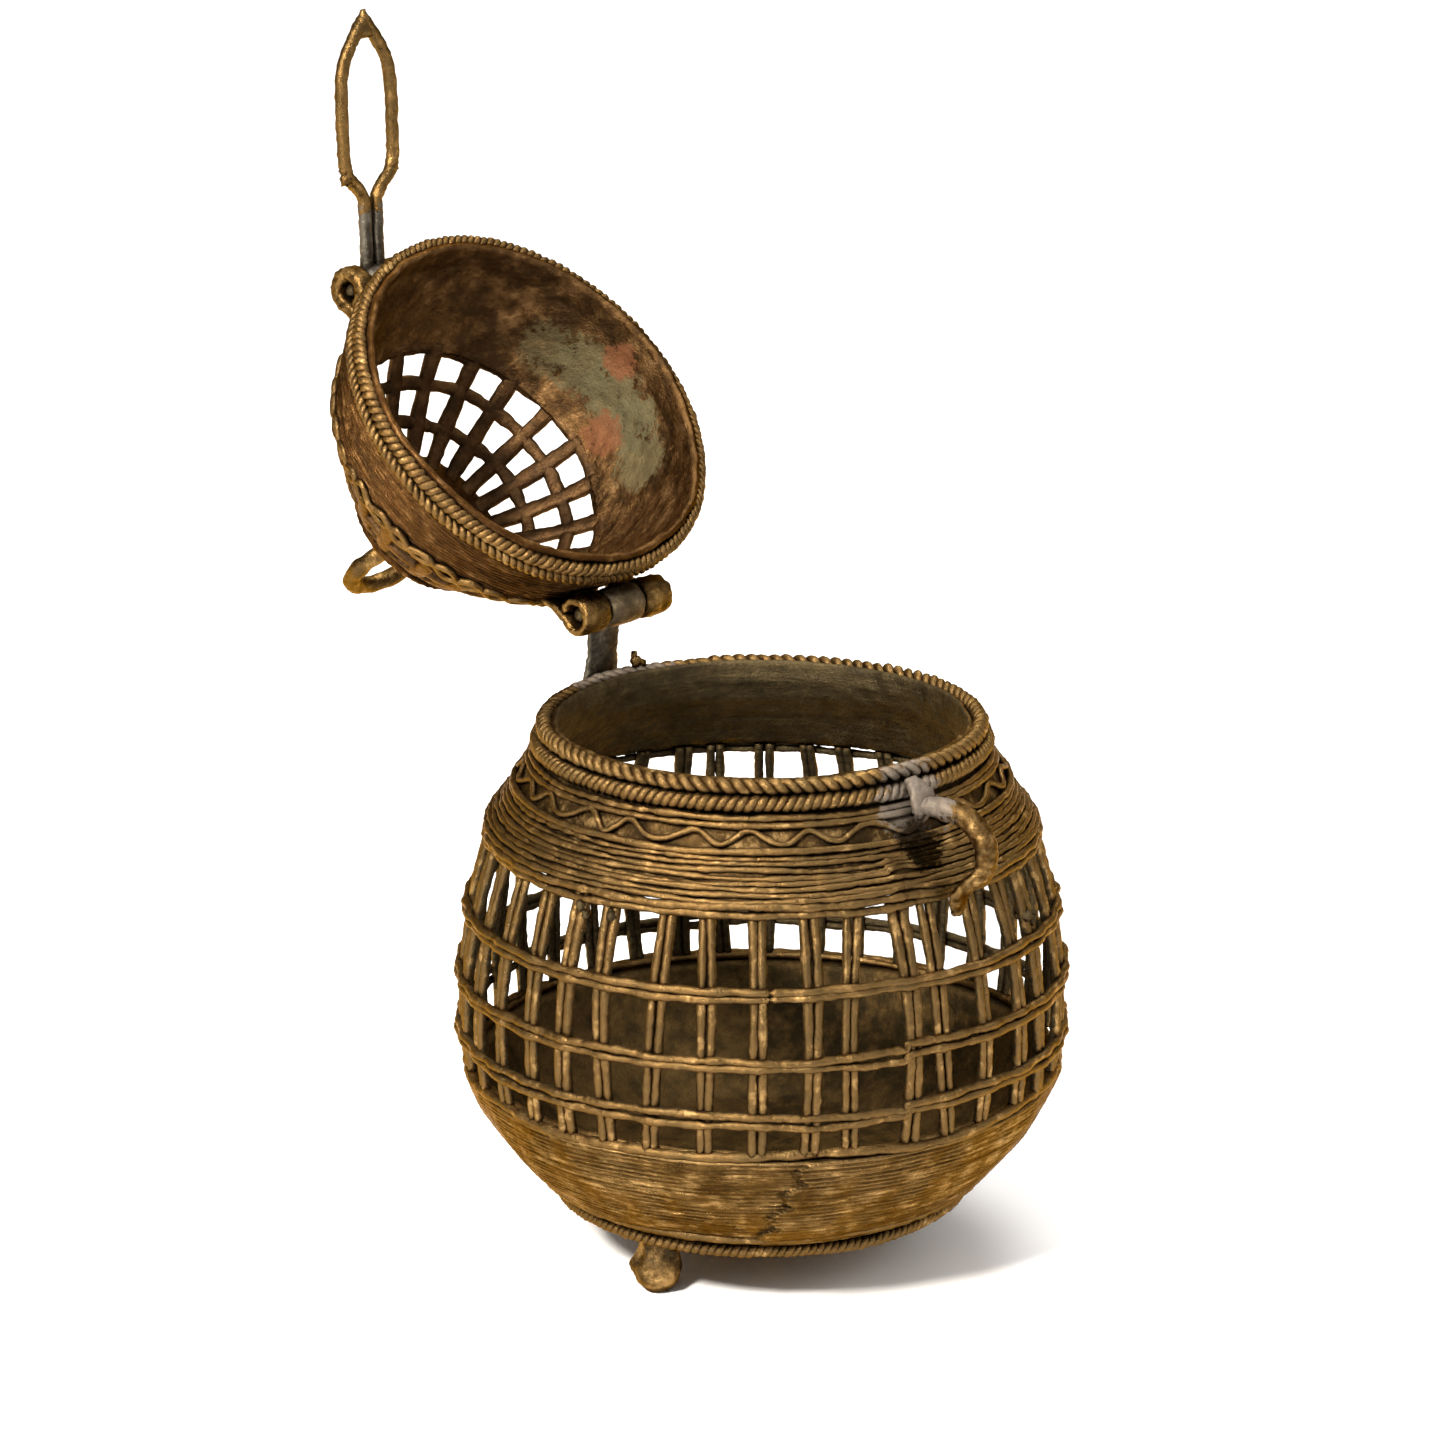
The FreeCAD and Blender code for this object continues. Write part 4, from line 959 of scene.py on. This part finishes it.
def make_crown():
    """The lid's openwork: flat bars running up to the crown, inside three rings of thread."""
    reach = DOME_CURVE - 1.0
    count = 300
    circle = ring_path(1.0, 0.0, count)
    for index, node in enumerate(("crown_ring_low", "crown_ring_middle", "crown_ring_high")):
        _, middle, _ = ring_of(node, in_lid=True)
        slope = math.asin((middle - DOME_CENTRE[1]) / DOME_CURVE)
        slope = slope + noise_field(240 + index, 0.5, 0.16)(circle) / DOME_CURVE
        path = ring_path(*round_profile(DOME_CENTRE, reach, slope), count)
        width = 1.15 * (1 + noise_field(250 + index, 0.2, 0.08)(circle))
        soup = Soup()
        sweep(soup, path, dome_normal(path), block_section(16, 3.0), 0.70, width, closed=True)
        publish(f"crown_band_{index + 1}", soup, "lid", node, "crown", grain=0.04, seed=24 + index)
    source = np.random.default_rng(29)
    bars = Soup()
    rows = arc_profile(DOME_CENTRE, reach, 110.2, 126.9, 26)
    share = np.linspace(0, 1, len(rows))
    for bar in range(CROWN_BAR_COUNT):
        lean = source.normal(0, 0.35, 2)
        angle = bar * TURN / CROWN_BAR_COUNT + (lean[0] * (1 - share) + lean[1] * share) / rows[:, 0]
        path = round_places(angle, rows[:, 0], rows[:, 1])
        width = 1.42 * (1 + 0.09 * np.sin(share * 11 + source.uniform(0, 6)))
        sweep(bars, path, dome_normal(path), block_section(14, 3.0), 0.78, width)
    publish("crown_bar_strips", bars, "lid", "crown_bars", "crown", grain=0.05, seed=28)
    profile = smooth_path([(0.3, 126.1), (6.0, 126.05), (12.6, 126.0), (13.8, 126.9), (12.6, 128.2),
                           (9.6, 129.4), (5.5, 130.6), (2.0, 131.1), (0.3, 131.2)], 60)
    disc = Soup()
    lathe(disc, profile, 120)
    publish("crown_button", disc, "lid", "crown_disc", "lid", grain=0.08, seed=30)


def make_ring_handle():
    """A ring standing on the crown, a little twisted and thicker where it stands."""
    angles = turns(120)
    low, high = box_of("ring_handle", in_lid=True)
    middle = (low + high) / 2
    thick = (high[1] - low[1]) / 2
    reach = (high[0] - low[0]) / 2 - thick
    path = np.column_stack([reach * np.cos(angles), 0.25 * np.sin(2 * angles),
                            middle[2] + reach * np.sin(angles)])
    size = thick * (1 + noise_field(251, 5.0, 0.05)(path)) * (1 + 0.10 * np.clip(-np.sin(angles), 0, 1))
    soup = Soup()
    sweep(soup, path, unit(path - middle[2] * UP), circle_section(16), size, size, closed=True)
    publish("handle_ring", soup, "lid", "ring_handle", "curl", grain=0.06, seed=31)


def make_lid_knuckles():
    leaf = [(28.3, 105.6), (30.2, 104.6), (32.2, 104.2)]
    for node, seed in (("lid_knuckle_left", 33), ("lid_knuckle_right", 34)):
        make_curl(node, seed, (HINGE[1], HINGE[2]), 3.4, 0.86, 112.0, -318.0, leaf, 14, 0.07)


def make_hasp_lugs():
    pivot = (HASP_PIN[1], HASP_PIN[2])
    leaf = [(-28.9, 106.1), (-30.6, 106.0)]
    for node, seed in (("hasp_lug_left", 35), ("hasp_lug_right", 36)):
        make_curl(node, seed, pivot, 4.05, 1.2, 60.0, 300.0, leaf, 10, 0.08)
    make_pin("hasp_pin_rod", "hasp_pin", "lid", pivot, 20, (1.2, 1.2), 1.15, 0.05, 37)


# ---- hasp
def make_hasp():
    """A thread doubled into a stem, opened into a slot and closed again at a point."""
    side, front, top = HASP_PIN
    eye = Soup()
    loop = curl((front, top), 2.75, 268.0, -335.0, 44)
    strip = np.column_stack([np.full(len(loop), side), loop])
    rod(eye, strip, ALONG_X, 2.5, 1.12, block_section(18, 3.0))
    for way in (-1, 1):
        distances = np.linspace(2.6, 13.9, 22)
        offset = 1.32 + 0.08 * np.sin(distances * 0.6)
        path = np.column_stack([side + way * offset, np.full(22, front - 0.02), top - distances])
        rod(eye, path, ALONG_X, 1.15, 1.12)
    publish("hasp_stem_threads", eye, "hasp", "hasp_stem", "grey", grain=0.05, seed=38)
    slot = Soup()
    # down from the pin, sideways
    outline = [(12.8, 1.35), (15.2, 1.6), (17.0, 2.9), (18.8, 4.7), (21.4, 5.5), (26.0, 5.65), (31.0, 5.65),
               (35.8, 5.35), (38.8, 4.3), (41.4, 2.6), (43.4, 1.1), (44.7, 0.0)]
    half = smooth_path(outline, 64)
    course = np.concatenate([half, half[::-1][1:] * (1, -1)])
    path = np.column_stack([side + course[:, 1], np.full(len(course), front), top - course[:, 0]])
    rod(slot, path, ALONG_Y, 1.12, 1.12)
    point = np.column_stack([np.full(8, side), np.full(8, front), top - np.linspace(42.6, 46.0, 8)])
    taper = np.linspace(2.2, 0.5, 8)
    rod(slot, point, ALONG_Y, np.minimum(taper, 1.1), taper)
    for way in (-1, 1):
        nub = np.array([side + way * 5.3, front, top - 19.2 - 0.5 * way])
        blob(slot, nub, 1.15, 260 + way)
        blob(slot, nub + np.array([way * 0.4, 0.1, -1.4]), 0.85, 270 + way)
    publish("hasp_slot_threads", slot, "hasp", "hasp_loop", "curl", grain=0.06, seed=39)


# ---- floor, light and camera
def make_stage():
    mesh = bpy.data.meshes.new("floor")
    reach = 6.0
    mesh.from_pydata([(-reach, -reach, 0), (reach, -reach, 0), (reach, reach, 0), (-reach, reach, 0)], [],
                     [(0, 1, 2, 3)])
    floor = put_in_scene("floor", mesh)
    pale = bpy.data.materials.new("pale_floor")
    pale.use_nodes = True
    shader = pale.node_tree.nodes["Principled BSDF"]
    shader.inputs["Base Color"].default_value = (0.93, 0.92, 0.91, 1.0)
    shader.inputs["Roughness"].default_value = 0.9
    shader.inputs["Specular IOR Level"].default_value = 0.1
    mesh.materials.append(pale)


def make_light(name, place, size, power, colour, target=(0.0, 0.0, 0.09)):
    data = bpy.data.lights.new(name, "AREA")
    data.shape = "DISK"
    data.size = size
    data.energy = power
    data.color = colour
    light = put_in_scene(name, data)
    light.location = place
    way = Vector(target) - Vector(place)
    light.rotation_euler = way.to_track_quat("-Z", "Y").to_euler()


def around(turn_deg, rise_deg, distance):
    """A place seen from the pot at a turn to the right of the camera and a rise above the floor."""
    turn = CAMERA_SIDE + math.radians(turn_deg)
    rise = math.radians(rise_deg)
    return (distance * math.cos(turn) * math.cos(rise), distance * math.sin(turn) * math.cos(rise),
            distance * math.sin(rise) + 0.09)


def make_lights():
    make_light("key", around(-32.0, 38.0, 1.3), 0.22, 38.0, (1.0, 0.95, 0.87))
    make_light("fill", around(70.0, 28.0, 1.6), 0.8, 4.5, (1.0, 0.97, 0.93))
    make_light("top", around(150.0, 66.0, 1.5), 0.7, 12.0, (1.0, 1.0, 1.0))
    make_world()


def make_world():
    """A studio that is bright overhead and dim around the walls."""
    world = bpy.data.worlds.new("studio")
    world.use_nodes = True
    nodes, links = world.node_tree.nodes, world.node_tree.links
    background = nodes["Background"]
    background.inputs["Color"].default_value = (1.0, 0.99, 0.98, 1.0)
    height = nodes.new("ShaderNodeSeparateXYZ")
    links.new(nodes.new("ShaderNodeTexCoord").outputs["Generated"], height.inputs["Vector"])
    wall_top, ceiling_start = 0.15, 0.85
    wall_strength, ceiling_strength = 0.12, 1.35
    fade = nodes.new("ShaderNodeMapRange")
    fade.interpolation_type = "SMOOTHSTEP"
    set_range(fade, wall_top, ceiling_start, wall_strength, ceiling_strength)
    links.new(height.outputs["Z"], fade.inputs["Value"])
    links.new(fade.outputs["Result"], background.inputs["Strength"])
    bpy.context.scene.world = world


def make_camera():
    """A long lens a little above the pot, which has its hinge at the back."""
    focal_share = 3.4632          # focal length over the picture's width
    distance = 0.8047
    elevation = math.radians(16.52)
    aim = Vector((0.0, 0.0, 0.08864))
    data = bpy.data.cameras.new("camera")
    data.sensor_width = 36.0
    data.lens = focal_share * data.sensor_width
    data.shift_x = -0.0273
    data.clip_start = 0.01
    data.clip_end = 50.0
    camera = put_in_scene("camera", data)
    back = Vector((math.cos(CAMERA_SIDE) * math.cos(elevation), math.sin(CAMERA_SIDE) * math.cos(elevation),
                   math.sin(elevation)))
    camera.location = aim + back * distance
    camera.rotation_euler = (-back).to_track_quat("-Z", "Y").to_euler()
    bpy.context.scene.camera = camera


make_bowl()
make_base_threads()
make_feet()
make_belly()
make_shoulder()
make_rim()
make_hinge()
make_staple()
make_lid_wall()
make_lid_threads()
make_crown()
make_ring_handle()
make_lid_knuckles()
make_hasp_lugs()
make_hasp()
make_stage()
make_lights()
make_camera()
bpy.context.scene.view_settings.view_transform = "Standard"
bpy.context.scene.view_settings.exposure = 0.0
